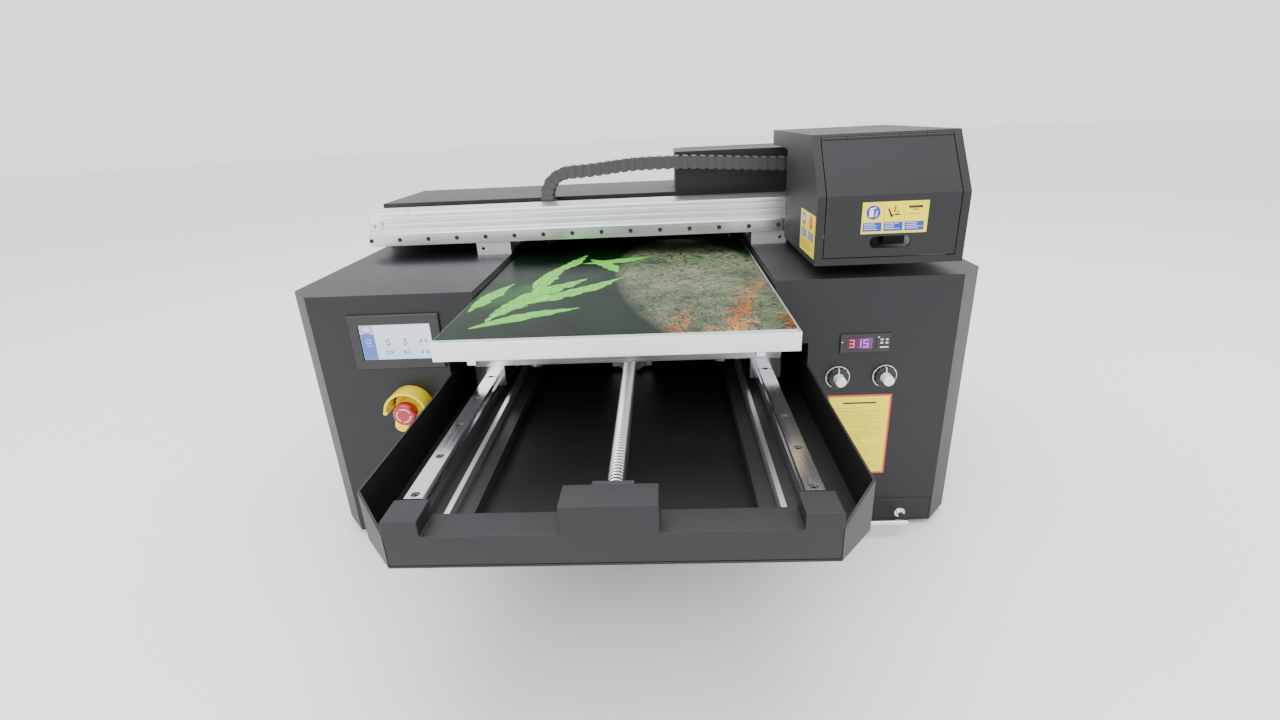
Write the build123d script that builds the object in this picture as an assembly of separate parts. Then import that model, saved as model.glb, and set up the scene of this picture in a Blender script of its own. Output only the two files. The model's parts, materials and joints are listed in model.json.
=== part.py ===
# Bench-top flatbed UV printer, millimetres, +Z up, +Y to the back, +X to the right.
# Origin: centre of the footprint, on the surface it stands on.
# The functions work with Y counted from the front of the tray; export moves everything back by half.
import os
from math import atan2, cos, degrees, hypot, sin

from build123d import *

# overall sizes
overall_width = 784.0
overall_depth = 772.0
foot_height = 6.0
foot_radius = 15.0
foot_inset = 50.0
cabinet_top = 319.5
cabinet_front = 281.0
cabinet_bevel_x = 29.0
cabinet_bevel_y = 32.0
sheet = 2.0                 # cabinet sheet metal
gap = 0.3                   # clearance between pieces of different bodies
running = 0.05              # radial running clearance

# bed, tunnel and tray
bed_x = -5.0                # centre line of the bed
table_width = 330.0
table_length = 440.0
table_thick = 18.0
table_front = 134.5
table_top = 311.5
side_clearance = 2.0        # table edge to tunnel wall
board_thick = 3.0
board_edge = 4.0
tray_bottom = 176.5
tray_half = 204.5
tray_bevel_x = 32.0
tray_bevel_y = 36.5
tray_wall = 46.5
apron_depth = 30.0
apron_low = 28.7
apron_post = 42.3
apron_hump = 52.8
apron_post_inner = 143.8
hump_half = 37.5
step_height = 246.0         # top of the wide part of the tunnel

# guide rails, ball screw and bed lift
rail_half = 157.4
rail_size = 15.0
rail_pitch = 60.0
rail_first_hole = 36.0
rail_back = overall_depth - 10.0
rail_base_height = 25.9
ledge_width = 16.0
ledge_drop = 4.0            # top of the lip under the rail seat
lip_width = 5.0
lip_height = 5.0
rib_gap = 0.5
post_clearance = 1.6        # from a lift post to the tray's stiffening ribs
rib_height = 12.0
screw_radius = 8.0
journal_radius = 6.0
screw_axis_z = 201.5
screw_back = overall_depth - 82.0
bearing_length = 20.0
carriage_front = 275.0
carriage_length = 240.0
carriage_thick = 8.0
block_length = 60.0
block_width = 34.0
block_height = 28.0         # top of block over foot of rail
post_radius = 6.0
post_x = 110.0
post_y = 85.0
lift_screw_radius = 4.0
lift_screw_x = 55.0
lift_motor_size = 42.0
runner_x = 129.5
runner_width = 8.0
runner_height = 4.0

# cross beam and print carriage
beam_front = 480.0
beam_depth = 66.0
beam_bottom = 337.0
beam_top = 381.6
beam_left = -366.0
beam_right = 377.0
end_plate = 3.0
bracket_width = 48.0
x_rail_height = 10.0
x_rail_bottom = 339.5
x_rail_pitch = 40.0
x_rail_first = -362.6
belt_z = 364.0
belt_width = 6.0
belt_thick = 1.4
beam_wall = 3.0
clamp_thick = 2.6
clamp_clearance = 0.6
pulley_radius = 6.0
pulley_y = beam_front + 14.3
idler_x = -350.0
drive_x = 364.0
hood_left = 204.0
hood_width = 157.5
hood_front = 290.0
hood_back = beam_front + beam_depth + 27.0
hood_bottom = 331.6
hood_knee = 404.7
hood_top = 464.6
hood_slant = 43.0
hood_notch = 463.0
hood_notch_top = 445.0
hood_sheet = 2.5
door_margin = 8.5
door_bottom = 339.0
door_gap = 1.0
knuckle = 2.0               # radius of the hinge knuckles
hinge_pin = 1.0
head_x = 283.0

# cable chain
chain_clearance = 8.0       # chain to beam and to rear cover
chain_front = beam_front + beam_depth + chain_clearance
chain_width = 28.0
chain_thick = 18.0
chain_bend_x = -91.5
chain_bend_radius = 37.0    # centre line
chain_bottom = 344.5
chain_fixed_x = 20.0
chain_moving_x = 236.0

# rear cover and ink box
cover_front = chain_front + chain_width + chain_clearance
cover_top = 383.0
cover_inset = 1.5
cover_sheet = 2.0
tunnel_back_top = 336.0
vent_low = 232.0
vent_pitch = 6.0
vent_height = 3.0
vent_half = 22.0
vent_spacing = 60.0
ink_left = 62.0
ink_right = 386.0
ink_depth = 110.0
ink_top = 440.0
lid_thick = 2.5
bottle_count = 6

# front controls
bezel_x = -266.5
bezel_z = 264.2
bezel_width = 106.0
bezel_height = 66.0
window_width = 83.0
window_height = 43.0
stop_x = -262.5
stop_z = 184.0
thermo_x = 263.3
thermo_z = 244.5
thermo_width = 56.0
thermo_height = 22.5
dial_x = (236.0, 289.0)
dial_z = 203.5
dial_radius = 14.7
drawer_left = 204.0
drawer_right = 361.0
drawer_top = 38.6
drawer_length = 180.0
handle_x = (229.0, 325.0)
handle_z = 18.0

half_width = overall_width / 2
tunnel_half = table_width / 2 + side_clearance
base_bottom = foot_height
base_top = foot_height + sheet
tray_floor = tray_bottom + sheet
rail_foot = tray_floor + rail_base_height
rail_top = rail_foot + rail_size
plate_bottom = rail_foot + block_height
plate_top = plate_bottom + carriage_thick
carriage_middle = carriage_front + carriage_length / 2
table_bottom = table_top - table_thick
hood_right = hood_left + hood_width
ink_floor = cover_top


def block(x0, x1, y0, y1, z0, z1):
    size = Box(x1 - x0, y1 - y0, z1 - z0)
    return Pos((x0 + x1) / 2, (y0 + y1) / 2, (z0 + z1) / 2) * size


def prism_z(points, z0, z1):
    face = make_face(Polyline(*points, close=True))
    return Pos(0, 0, z0) * extrude(face, z1 - z0)


def prism_x(points, x0, x1):
    face = Plane.YZ * make_face(Polyline(*points, close=True))
    return Pos(x0, 0, 0) * extrude(face, x1 - x0)


def prism_y(points, y0, y1):
    face = Plane.XZ * make_face(Polyline(*points, close=True))
    return Pos(0, y0, 0) * extrude(face, y0 - y1)


def rod_x(y, z, radius, x0, x1):
    return Pos((x0 + x1) / 2, y, z) * Rot(0, 90, 0) * Cylinder(radius, x1 - x0)


def rod_y(x, z, radius, y0, y1):
    return Pos(x, (y0 + y1) / 2, z) * Rot(90, 0, 0) * Cylinder(radius, y1 - y0)


def rod_z(x, y, radius, z0, z1):
    return Pos(x, y, (z0 + z1) / 2) * Cylinder(radius, z1 - z0)


def grown(points, amount):
    face = make_face(Polyline(*points, close=True))
    return offset(face, amount=amount, kind=Kind.INTERSECTION)


def group(pieces):
    return Compound(list(pieces))


# ---------------------------------------------------------------- cabinets and base
def cabinet_outline(side):
    outer = side * half_width
    inner = bed_x + side * tunnel_half
    return [
        (outer, cabinet_front + cabinet_bevel_y),
        (outer - side * cabinet_bevel_x, cabinet_front),
        (inner, cabinet_front),
        (inner, overall_depth),
        (outer, overall_depth),
    ]


def wide_tunnel(side, clearance, top):
    inner = bed_x
    outer = bed_x + side * (tray_half + clearance)
    low, high = min(inner, outer), max(inner, outer)
    return block(low, high, 0, overall_depth + 1, -1, top)


def cabinet(side):
    outline = cabinet_outline(side)
    body = prism_z(outline, base_bottom, cabinet_top)
    body -= wide_tunnel(side, 1, step_height)
    hollow = extrude(grown(outline, -sheet), cabinet_top - sheet)
    hollow -= wide_tunnel(side, 1 + sheet, step_height + sheet)
    shell = body - hollow
    # the inner wall stands on the base pan
    foot = bed_x + side * (tray_half + 1)
    return shell - block(
        min(foot, foot + side * 2 * sheet), max(foot, foot + side * 2 * sheet),
        cabinet_front + sheet, overall_depth - sheet, 0, base_top)


def left_cabinet():
    shell = cabinet(-1)
    half_x = window_width / 2 + 6
    half_z = window_height / 2 + 6
    shell -= block(
        bezel_x - half_x, bezel_x + half_x, cabinet_front - 1, cabinet_front + sheet + 1,
        bezel_z - half_z, bezel_z + half_z)
    shell -= rod_y(stop_x, stop_z, post_radius + 2, cabinet_front - 1, cabinet_front + sheet + 1)
    return shell


def cap_opening(clearance):
    half = 34 + clearance
    return head_x - half, head_x + half, 386 - clearance, 444 + clearance


def right_cabinet():
    shell = cabinet(1)
    x0, x1, y0, y1 = cap_opening(0.5)
    shell -= block(x0, x1, y0, y1, cabinet_top - sheet - 1, cabinet_top + 1)
    y0, y1 = cabinet_front - 1, cabinet_front + sheet + 1
    shell -= block(drawer_left - gap, drawer_right + gap, y0, y1, base_top, drawer_top + gap)
    shell -= block(
        thermo_x - thermo_width / 2 + 3, thermo_x + thermo_width / 2 - 3, y0, y1,
        thermo_z - thermo_height / 2 + 2, thermo_z + thermo_height / 2 - 2)
    for x in dial_x:
        shell -= rod_y(x, dial_z, 3.5, y0, y1)
    return shell


def base_pan():
    inset = sheet + gap
    outline = [
        (-half_width, cabinet_front + cabinet_bevel_y),
        (-half_width + cabinet_bevel_x, cabinet_front),
        (half_width - cabinet_bevel_x, cabinet_front),
        (half_width, cabinet_front + cabinet_bevel_y),
        (half_width, overall_depth),
        (-half_width, overall_depth),
    ]
    pan = Pos(0, 0, base_bottom) * extrude(grown(outline, -inset), sheet)
    left, right = bed_x - tray_half, bed_x + tray_half
    front = cabinet_front + inset
    # the middle of the pan folds up to close the front under the tray
    return pan + block(left, right, front, front + sheet, base_bottom, tray_bottom)


def rubber_feet():
    feet = []
    for x in (-half_width + foot_inset, half_width - foot_inset):
        for y in (cabinet_front + foot_inset, overall_depth - foot_inset):
            foot = rod_z(x, y, foot_radius, 0, foot_height)
            feet.append(chamfer(foot.edges().sort_by(Axis.Z)[0], 1.5))
    return group(feet)


def bed_frame():
    tube = 30.0
    x = 120.0
    front, back = cabinet_front + 24, overall_depth - 14
    frame = None
    for side in (-1, 1):
        middle = bed_x + side * x
        left, right = middle - tube / 2, middle + tube / 2
        rail = block(left, right, front, back, tray_bottom - tube, tray_bottom)
        frame = rail if frame is None else frame + rail
        for y in (front, back - tube):
            frame += block(left, right, y, y + tube, base_top, tray_bottom)
    for y in (front, back - tube):
        frame += block(bed_x - x, bed_x + x, y, y + tube, tray_bottom - tube, tray_bottom)
    return frame


def rear_panel():
    low = base_top
    half = tunnel_half - gap
    wide = tray_half
    outline = [
        (bed_x - wide, low), (bed_x + wide, low), (bed_x + wide, step_height - 1),
        (bed_x + half, step_height - 1), (bed_x + half, cabinet_top),
        (bed_x - half, cabinet_top), (bed_x - half, step_height - 1), (bed_x - wide, step_height - 1),
    ]
    panel = prism_y(outline, overall_depth - 2 * sheet, overall_depth - sheet)
    for column in range(-1, 2):
        for row in range(7):
            x = bed_x + column * vent_spacing
            z = vent_low + row * vent_pitch
            panel -= block(x - vent_half, x + vent_half, overall_depth - 8, overall_depth, z, z + vent_height)
    panel -= block(-64, -26, overall_depth - 8, overall_depth, 59, 91)
    panel -= block(-13.2, 7.2, overall_depth - 8, overall_depth, 60.8, 89.2)
    return panel


def power_inlet():
    back = overall_depth - sheet
    flange = block(-70, -20, back, back + sheet, 55, 95)
    body = block(-63, -27, back - 26, back, 60, 90)
    socket = block(-58, -32, back - 16, back + 5, 66, 84)
    inlet = flange + body - socket
    for x, z in ((-51, 72), (-39, 72), (-45, 78)):
        inlet += block(x - 1, x + 1, back - 17, back - 4, z - 2.5, z + 2.5)
    return inlet


def rocker_switch():
    back = overall_depth - sheet
    rocker = rod_x(back - 4, 75, 6.2, -12, 6)
    return rocker & block(-13, 7, back - 12, back + 1.9, 62, 88)


def switch_frame():
    back = overall_depth - sheet
    frame = block(-16, 10, back, back + 1.5, 58, 92) + block(-13, 7, back - 16, back, 61, 89)
    frame -= block(-12 - gap, 6 + gap, back - 12, back + 5, 68.4, 81.6)
    return frame + rod_x(back - 4, 75, 1.2, -13, 7)


def pierced_rocker():
    return rocker_switch() - rod_x(overall_depth - sheet - 4, 75, 1.2 + running, -14, 8)


def power_supply():
    x0, x1, y0, y1 = -half_width + 24, -half_width + 134, 560, 750
    case = block(x0, x1, y0, y1, base_top, base_top + 50)
    for index in range(12):
        y = y0 + 30 + index * 11
        case -= block(x0 + 15, x1 - 15, y, y + 4, base_top + 48, base_top + 51)
    return case


# ---------------------------------------------------------------- tray
def tray_outline():
    apron_half = tray_half - tray_bevel_x
    return [
        (bed_x - apron_half, 0), (bed_x + apron_half, 0),
        (bed_x + tray_half, tray_bevel_y), (bed_x + tray_half, rail_back + 4),
        (bed_x - tray_half, rail_back + 4), (bed_x - tray_half, tray_bevel_y),
    ]


def tray_pan():
    outline = tray_outline()
    top = tray_bottom + tray_wall
    face = make_face(Polyline(*outline, close=True))
    floor = Pos(0, 0, tray_bottom) * extrude(face, sheet)
    walls = Pos(0, 0, tray_bottom) * extrude(face - grown(outline, -sheet), tray_wall)
    # the bevelled corners fall away towards the low front
    slope = [(-1, tray_bottom + apron_low), (tray_bevel_y, top), (tray_bevel_y, top + 1), (-1, top + 1)]
    walls -= prism_x(slope, bed_x - tray_half - 1, bed_x + tray_half + 1)
    # the apron closes the front
    apron_half = tray_half - tray_bevel_x
    walls -= block(bed_x - apron_half, bed_x + apron_half, -1, sheet + 1, tray_floor, top + 1)
    pan = floor + walls
    rib_outer = rail_half - rail_size / 2 - 1 - ledge_width - rib_gap
    rib_inner = post_x + post_radius + post_clearance
    for side in (-1, 1):
        x0, x1 = sorted((bed_x + side * rib_outer, bed_x + side * rib_inner))
        pan += block(x0, x1, apron_depth + gap, rail_back, tray_floor, tray_floor + rib_height)
    return pan


def apron_outline(inset):
    half = tray_half - tray_bevel_x - inset
    post = apron_post_inner + inset
    hump = hump_half - inset
    low = tray_bottom + apron_low - inset
    top = tray_bottom + apron_post - inset
    high = tray_bottom + apron_hump - inset
    foot = tray_floor if inset == 0 else tray_floor - 1
    right = [
        (hump, high), (hump, low), (post, low), (post, top), (half, top), (half, foot),
    ]
    left = [(-x, z) for x, z in reversed(right)]
    return [(bed_x + x, z) for x, z in left + right]


def tray_apron():
    apron = prism_y(apron_outline(0), 0, apron_depth)
    cavity = prism_y(apron_outline(sheet), sheet, apron_depth - sheet)
    return apron - cavity


def rail_bases():
    bases = []
    for side in (-1, 1):
        outer = bed_x + side * (rail_half + rail_size / 2 + 1)
        seat = bed_x + side * (rail_half - rail_size / 2 - 1)
        ledge = seat - side * ledge_width
        top = rail_foot
        lip_top = top - ledge_drop
        lip = ledge + side * lip_width
        points = [
            (outer, tray_floor), (outer, top), (seat, top), (seat, lip_top - lip_height),
            (lip, lip_top - lip_height), (lip, lip_top), (ledge, lip_top), (ledge, tray_floor),
        ]
        bases.append(prism_y(points, apron_depth + gap, rail_back))
    return group(bases)


def rail_profile(middle, growth):
    half = rail_size / 2 + growth
    waist = half - 1.8
    low, high = rail_foot, rail_top + growth
    right = [
        (half, low), (half, low + 5.5), (waist, low + 7.5), (waist, low + 9), (half, low + 11),
        (half, high),
    ]
    left = [(-x, z) for x, z in reversed(right)]
    return [(middle + x, z) for x, z in right + left]


def rail_holes():
    count = int((rail_back - rail_first_hole) // rail_pitch) + 1
    return [rail_first_hole + index * rail_pitch for index in range(count)]


def y_rails():
    rails = []
    for side in (-1, 1):
        middle = bed_x + side * rail_half
        rail = prism_y(rail_profile(middle, 0), apron_depth + gap, rail_back)
        for y in rail_holes():
            rail -= rod_z(middle, y, 3.75, rail_top - 5.3, rail_top + 1)
            rail -= rod_z(middle, y, 2.25, rail_foot - 1, rail_top)
        rails.append(rail)
    return group(rails)


def cap_screw(radius, head_length, shank, length, key):
    head = rod_z(0, 0, radius, 0, head_length)
    hexagon = extrude(RegularPolygon(key, 6), head_length)
    return head + rod_z(0, 0, shank, -length, 0) - Pos(0, 0, head_length * 0.45) * hexagon


def rail_screws():
    y_screw = cap_screw(3.5, 4.0, 2.0, rail_size - 5.3, 1.6)
    x_screw = cap_screw(2.8, 3.0, 1.5, x_rail_height - 4.5, 1.3)
    screws = []
    for side in (-1, 1):
        for y in rail_holes():
            screws.append(Pos(bed_x + side * rail_half, y, rail_top - 5.3) * y_screw)
    seat = beam_front - x_rail_height + 4.5
    for x in x_rail_holes():
        screws.append(Pos(x, seat, x_rail_bottom + rail_size / 2) * Rot(90, 0, 0) * x_screw)
    return group(screws)


def screw_supports():
    supports = []
    for y0 in (apron_depth + 1, screw_back - 30):
        foot = block(bed_x - 30, bed_x + 30, y0, y0 + bearing_length, tray_floor, tray_floor + 12)
        housing = block(bed_x - 17, bed_x + 17, y0, y0 + bearing_length, tray_floor, screw_axis_z + 17)
        ring = rod_y(bed_x, screw_axis_z, journal_radius + running, y0 - 1, y0 + bearing_length + 1)
        supports.append(foot + housing - ring)
    return group(supports)


def ball_screw():
    front = apron_depth + 2
    thread_front = apron_depth + 1 + bearing_length + gap
    thread_back = screw_back - 30 - gap
    screw = rod_y(bed_x, screw_axis_z, journal_radius, front, screw_back)
    screw += rod_y(bed_x, screw_axis_z, screw_radius, thread_front, thread_back)
    coupling = rod_y(bed_x, screw_axis_z, 12.5, screw_back - 8, screw_back + 20)
    coupling -= rod_y(bed_x, screw_axis_z, journal_radius, screw_back - 9, screw_back)
    shaft = rod_y(bed_x, screw_axis_z, 2.5, screw_back + 20, screw_back + 22.7)
    return group([screw, coupling + shaft])


def y_motor():
    half = lift_motor_size / 2
    face = screw_back + 23
    plate = block(bed_x - 26, bed_x + 26, face, face + 3, tray_floor, screw_axis_z + 24)
    body = block(bed_x - half, bed_x + half, face + 3, face + 43, screw_axis_z - half, screw_axis_z + half)
    motor = plate + chamfer(body.edges().filter_by(Axis.Y), 4)
    return motor - rod_y(bed_x, screw_axis_z, 2.5 + gap, face - 1, face + 8)


# ---------------------------------------------------------------- bed carriage and table
def post_places():
    return [(bed_x + i * post_x, carriage_middle + j * post_y) for i in (-1, 1) for j in (-1, 1)]


def y_carriage_plate():
    half = rail_half + block_width / 2
    back = carriage_front + carriage_length
    plate = block(bed_x - half, bed_x + half, carriage_front, back, plate_bottom, plate_top)
    boss_y = carriage_middle - 12
    plate += block(bed_x - 26, bed_x + 26, boss_y, boss_y + 24, screw_axis_z - 18, plate_bottom)
    plate -= rod_y(bed_x, screw_axis_z, 14 + running, boss_y - 1, boss_y + 25)
    for x, y in post_places():
        plate -= rod_z(x, y, 11, plate_bottom - 1, plate_top + 1)
    plate -= rod_z(bed_x + lift_screw_x, carriage_middle, 7, plate_bottom - 1, plate_top + 1)
    return plate


def bearing_blocks():
    blocks = []
    for side in (-1, 1):
        middle = bed_x + side * rail_half
        groove = prism_y(rail_profile(middle, gap), 0, overall_depth)
        for y0 in (carriage_front, carriage_front + carriage_length - block_length):
            left, right = middle - block_width / 2, middle + block_width / 2
            body = block(left, right, y0, y0 + block_length, rail_foot + 4, plate_bottom)
            blocks.append(body - groove)
    return group(blocks)


def ball_nut():
    front = carriage_middle - 22
    nut = rod_y(bed_x, screw_axis_z, 14, front, front + 40)
    nut += rod_y(bed_x, screw_axis_z, 21, front, front + 10)
    return nut - rod_y(bed_x, screw_axis_z, screw_radius + running, front - 1, front + 41)


def lift_bushes():
    bushes = []
    for x, y in post_places():
        bush = rod_z(x, y, 11, plate_bottom - 12, plate_top)
        bush += rod_z(x, y, 15, plate_bottom - 4, plate_bottom)
        bushes.append(bush - rod_z(x, y, post_radius + running, 0, overall_depth))
    return group(bushes)


def lift_motor():
    x = bed_x + lift_screw_x
    half = lift_motor_size / 2
    front, back = carriage_middle - half, carriage_middle + half
    body = block(x - half, x + half, front, back, plate_bottom - 34, plate_bottom)
    body = chamfer(body.edges().filter_by(Axis.Z), 4)
    return body - rod_z(x, carriage_middle, 7, 0, plate_bottom + 1)


def lift_nut():
    x = bed_x + lift_screw_x
    nut = rod_z(x, carriage_middle, 13, plate_top + gap, plate_top + gap + 6)
    nut += rod_z(x, carriage_middle, 6.5, plate_bottom - 14, plate_top + gap)
    return nut - rod_z(x, carriage_middle, lift_screw_radius + running, 0, plate_top + 20)


def bed_plate():
    left, right = bed_x - table_width / 2, bed_x + table_width / 2
    plate = block(left, right, table_front, table_front + table_length, table_bottom, table_top)
    return chamfer(plate.edges().filter_by(Axis.Z), 1.0)


def sample_board():
    left = bed_x - table_width / 2 + board_edge
    right = bed_x + table_width / 2 - board_edge
    back = table_front + table_length - 2
    return block(left, right, table_front + 1, back, table_top, table_top + board_thick)


def bed_runners():
    runners = []
    for side in (-1, 1):
        x = bed_x + side * runner_x
        left, right = x - runner_width / 2, x + runner_width / 2
        back = table_front + table_length - 5
        runners.append(block(left, right, table_front, back, table_bottom - runner_height, table_bottom))
    return group(runners)


def guide_posts():
    posts = [rod_z(x, y, post_radius, plate_bottom - 12, table_bottom) for x, y in post_places()]
    x = bed_x + lift_screw_x
    posts.append(rod_z(x, carriage_middle, lift_screw_radius, plate_bottom - 8, table_bottom))
    return group(posts)


# ---------------------------------------------------------------- cross beam
def x_beam():
    back = beam_front + beam_depth
    beam = block(beam_left, beam_right, beam_front, back, beam_bottom, beam_top)
    channel_front, channel_back = beam_front + beam_wall, beam_front + 26
    slot_back = channel_front + clamp_thick + 2 * clamp_clearance
    beam -= block(beam_left - 1, beam_right + 1, channel_front, channel_back, belt_z - 7, belt_z + 14)
    # the belt clamp reaches down through a slot in the top wall
    beam -= block(beam_left - 1, beam_right + 1, channel_front, slot_back, belt_z, beam_top + 1)
    beam -= block(beam_left - 1, beam_right + 1, channel_back + 3, back - 3, belt_z - 7, belt_z + 14)
    beam -= block(beam_left - 1, beam_right + 1, beam_front + 6, back - 3, beam_bottom + 4, belt_z - 10)
    for z in (belt_z - 5.5, belt_z + 3, belt_z + 12):
        beam -= block(beam_left - 1, beam_right + 1, beam_front - 1, beam_front + 1.2, z, z + 1.6)
    beam -= rod_z(drive_x, pulley_y, 5, belt_z + 10, beam_top + 1)
    return beam


def beam_fittings():
    back = beam_front + beam_depth
    fittings = [
        block(beam_left - end_plate, beam_left, beam_front, back, beam_bottom, beam_top),
        block(beam_right, beam_right + end_plate, beam_front, back, beam_bottom, beam_top),
    ]
    tensioner = block(beam_left, beam_left + 18, beam_front - 2.5, beam_front, belt_z - 3, belt_z + 9)
    bolt = rod_y(beam_left + 5, belt_z + 3, 4, beam_front - 7, beam_front - 2.5)
    bolt -= rod_y(beam_left + 5, belt_z + 3, 2, beam_front - 8, beam_front - 5)
    fittings.append(tensioner + bolt)
    fittings.append(rod_z(idler_x, pulley_y, 2, belt_z - 7, belt_z + 14))
    fittings.append(block(-325, -311, beam_front + 3, beam_front + 13, beam_top, beam_top + 5))
    shelf_right = chain_fixed_x + 20
    shelf = block(beam_left, shelf_right, back, cover_front - 4, chain_bottom - 3, chain_bottom - 0.5)
    shelf += block(chain_fixed_x, chain_fixed_x + 12, chain_front, chain_front + chain_width,
                   chain_bottom - 0.5, chain_bottom + chain_thick - 4)
    fittings.append(shelf)
    return group(fittings)


def beam_brackets():
    brackets = []
    for side in (-1, 1):
        inner = bed_x + side * (tunnel_half + 0.5)
        outer = inner + side * bracket_width
        low, high = min(inner, outer), max(inner, outer)
        front, back = beam_front + 2, beam_front + beam_depth
        bracket = block(low, high, front, back, cabinet_top, cabinet_top + 5)
        bracket += block(low, high, front, front + 6, cabinet_top, beam_bottom)
        bracket += block(low, high, back - 6, back, cabinet_top, beam_bottom)
        bracket += block(low, high, front, back, beam_bottom - 4, beam_bottom)
        x = low + 9 if side < 0 else high - 9
        bracket -= rod_y(x, cabinet_top + 9, 2.2, front - 1, front + 7)
        brackets.append(bracket)
    return group(brackets)


def x_rail_holes():
    count = int((beam_right - x_rail_first) // x_rail_pitch) + 1
    return [x_rail_first + index * x_rail_pitch for index in range(count)]


def x_rail_profile(growth):
    low = x_rail_bottom - growth
    high = x_rail_bottom + rail_size + growth
    front = beam_front - x_rail_height
    waist = 1.6
    under = [(6, 0), (4.5, waist), (3.5, waist), (2, 0)]
    lower = [(front + y, low + z) for y, z in under]
    upper = [(front + y, high - z) for y, z in reversed(under)]
    face = front - growth
    return [(beam_front, low)] + lower + [(face, low), (face, high)] + upper + [(beam_front, high)]


def x_rail():
    rail = prism_x(x_rail_profile(0), beam_left, beam_right)
    z = x_rail_bottom + rail_size / 2
    front = beam_front - x_rail_height
    for x in x_rail_holes():
        rail -= rod_y(x, z, 3.0, front - 1, front + 4.5)
        rail -= rod_y(x, z, 1.7, front, beam_front + 1)
    return rail


def x_motor():
    half = lift_motor_size / 2
    body = block(drive_x - half, drive_x + half, pulley_y - half, pulley_y + half, beam_top, beam_top + 40)
    body = chamfer(body.edges().filter_by(Axis.Z), 4)
    return body - rod_z(drive_x, pulley_y, 2.5 + gap, beam_top - 1, beam_top + 6)


def pulley(x, bore):
    wheel = rod_z(x, pulley_y, pulley_radius, belt_z - 1.5, belt_z + belt_width + 1.5)
    for z in (belt_z - 2.5, belt_z + belt_width + 1.2):
        wheel += rod_z(x, pulley_y, pulley_radius + 1.5, z, z + 1.3)
    return wheel - rod_z(x, pulley_y, bore, 0, hood_top) if bore else wheel


def drive_pulley():
    return pulley(drive_x, 0) + rod_z(drive_x, pulley_y, 2.5, belt_z - 1, beam_top + 5)


def idler_pulley():
    return pulley(idler_x, 2 + running)


def x_belt():
    def loop(radius):
        middle = (idler_x + drive_x) / 2
        return Pos(middle, pulley_y) * SlotCenterToCenter(drive_x - idler_x, 2 * radius)
    inner = pulley_radius + gap
    face = loop(inner + belt_thick) - loop(inner)
    return Pos(0, 0, belt_z) * extrude(face, belt_width)


# ---------------------------------------------------------------- print carriage
def hood_outline():
    return [
        (hood_front, hood_bottom), (hood_notch, hood_bottom), (hood_notch, hood_notch_top),
        (hood_back, hood_notch_top), (hood_back, hood_top), (hood_front + hood_slant, hood_top),
        (hood_front, hood_knee),
    ]


def hood_inside(x0, x1):
    t = hood_sheet
    slope = atan2(hood_top - hood_knee, hood_slant)
    knee = hood_knee - t * (1 - cos(slope)) / sin(slope)
    fold = hood_front + hood_slant + t * (1 - cos(slope)) / sin(slope)
    points = [
        (hood_front + t, hood_bottom - 5), (hood_back + 9, hood_bottom - 5), (hood_back + 9, hood_notch_top),
        (hood_back - t, hood_notch_top), (hood_back - t, hood_top - t), (fold, hood_top - t),
        (hood_front + t, knee),
    ]
    return prism_x(points, x0, x1)


def hinge_line():
    # a point in the middle of the slanted sheet, just under the top fold
    length = hypot(hood_slant, hood_top - hood_knee)
    along_y, along_z = hood_slant / length, (hood_top - hood_knee) / length
    down = 5.5
    y = hood_front + hood_slant - along_y * down + along_z * hood_sheet / 2
    z = hood_top - along_z * down - along_y * hood_sheet / 2
    return y, z


def door_region(clearance):
    y, z = hinge_line()
    left = hood_left + door_margin + clearance
    right = hood_right - door_margin - clearance
    slope = degrees(atan2(hood_top - hood_knee, hood_slant))
    reach = 300.0
    half_plane = Pos(0, y, z) * Rot(slope - 90, 0, 0) * Box(
        right - left, reach, reach, align=(Align.CENTER, Align.CENTER, Align.MAX))
    return Pos((left + right) / 2, 0, 0) * half_plane, left, right


def hood_skin():
    inside = hood_inside(hood_left + hood_sheet, hood_right - hood_sheet)
    return prism_x(hood_outline(), hood_left, hood_right) - inside


def door_knuckles(moving):
    y, z = hinge_line()
    left = hood_left + door_margin + door_gap
    right = hood_right - door_margin - door_gap
    step = (right - left) / 5
    spans = (1, 3) if moving else (0, 2, 4)
    pieces = []
    for index in spans:
        x0 = left + index * step + gap
        x1 = left + (index + 1) * step - gap
        pieces.append(rod_x(y, z, knuckle, x0, x1))
    return pieces, left, right


def hood_shell():
    y, z = hinge_line()
    region, left, right = door_region(0)
    opening = region & block(left, right, hood_front - 5, y + 20, door_bottom, hood_top - 1)
    shell = hood_skin() - opening
    shell -= rod_x(y, z, knuckle + 0.4, left, right)
    web = 1.0
    for piece in door_knuckles(False)[0]:
        box = piece.bounding_box()
        shell += piece
        shell += block(box.min.X, box.max.X, y, y + 4, z + 0.2, z + 0.2 + web) + block(
            box.min.X, box.max.X, y + 3, y + 4, z + 0.2, hood_top - 1)
    shell += rod_x(y, z, hinge_pin, left, right)
    return shell


def hood_door():
    y, z = hinge_line()
    region, left, right = door_region(door_gap)
    slope = atan2(hood_top - hood_knee, hood_slant)
    door = hood_skin_solid() & block(left, right, hood_front - 5, y + 20, door_bottom + door_gap, hood_top)
    door = door & region
    door -= rod_x(y, z, knuckle + 0.4, left - 1, right + 1)
    for piece in door_knuckles(True)[0]:
        box = piece.bounding_box()
        strap = Pos((box.min.X + box.max.X) / 2, y, z) * Rot(degrees(slope) - 90, 0, 0) * Box(
            box.max.X - box.min.X, 1.6, 4.0, align=(Align.CENTER, Align.CENTER, Align.MAX))
        door += piece + strap
    door -= rod_x(y, z, hinge_pin + running, left - 1, right + 1)
    slot_middle, slot_z = (left + right) / 2, 355.3
    slot = Plane.XZ * SlotOverall(43, 12.6)
    door -= Pos(slot_middle, hood_front + 5, slot_z) * extrude(slot, 10)
    return door


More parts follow.
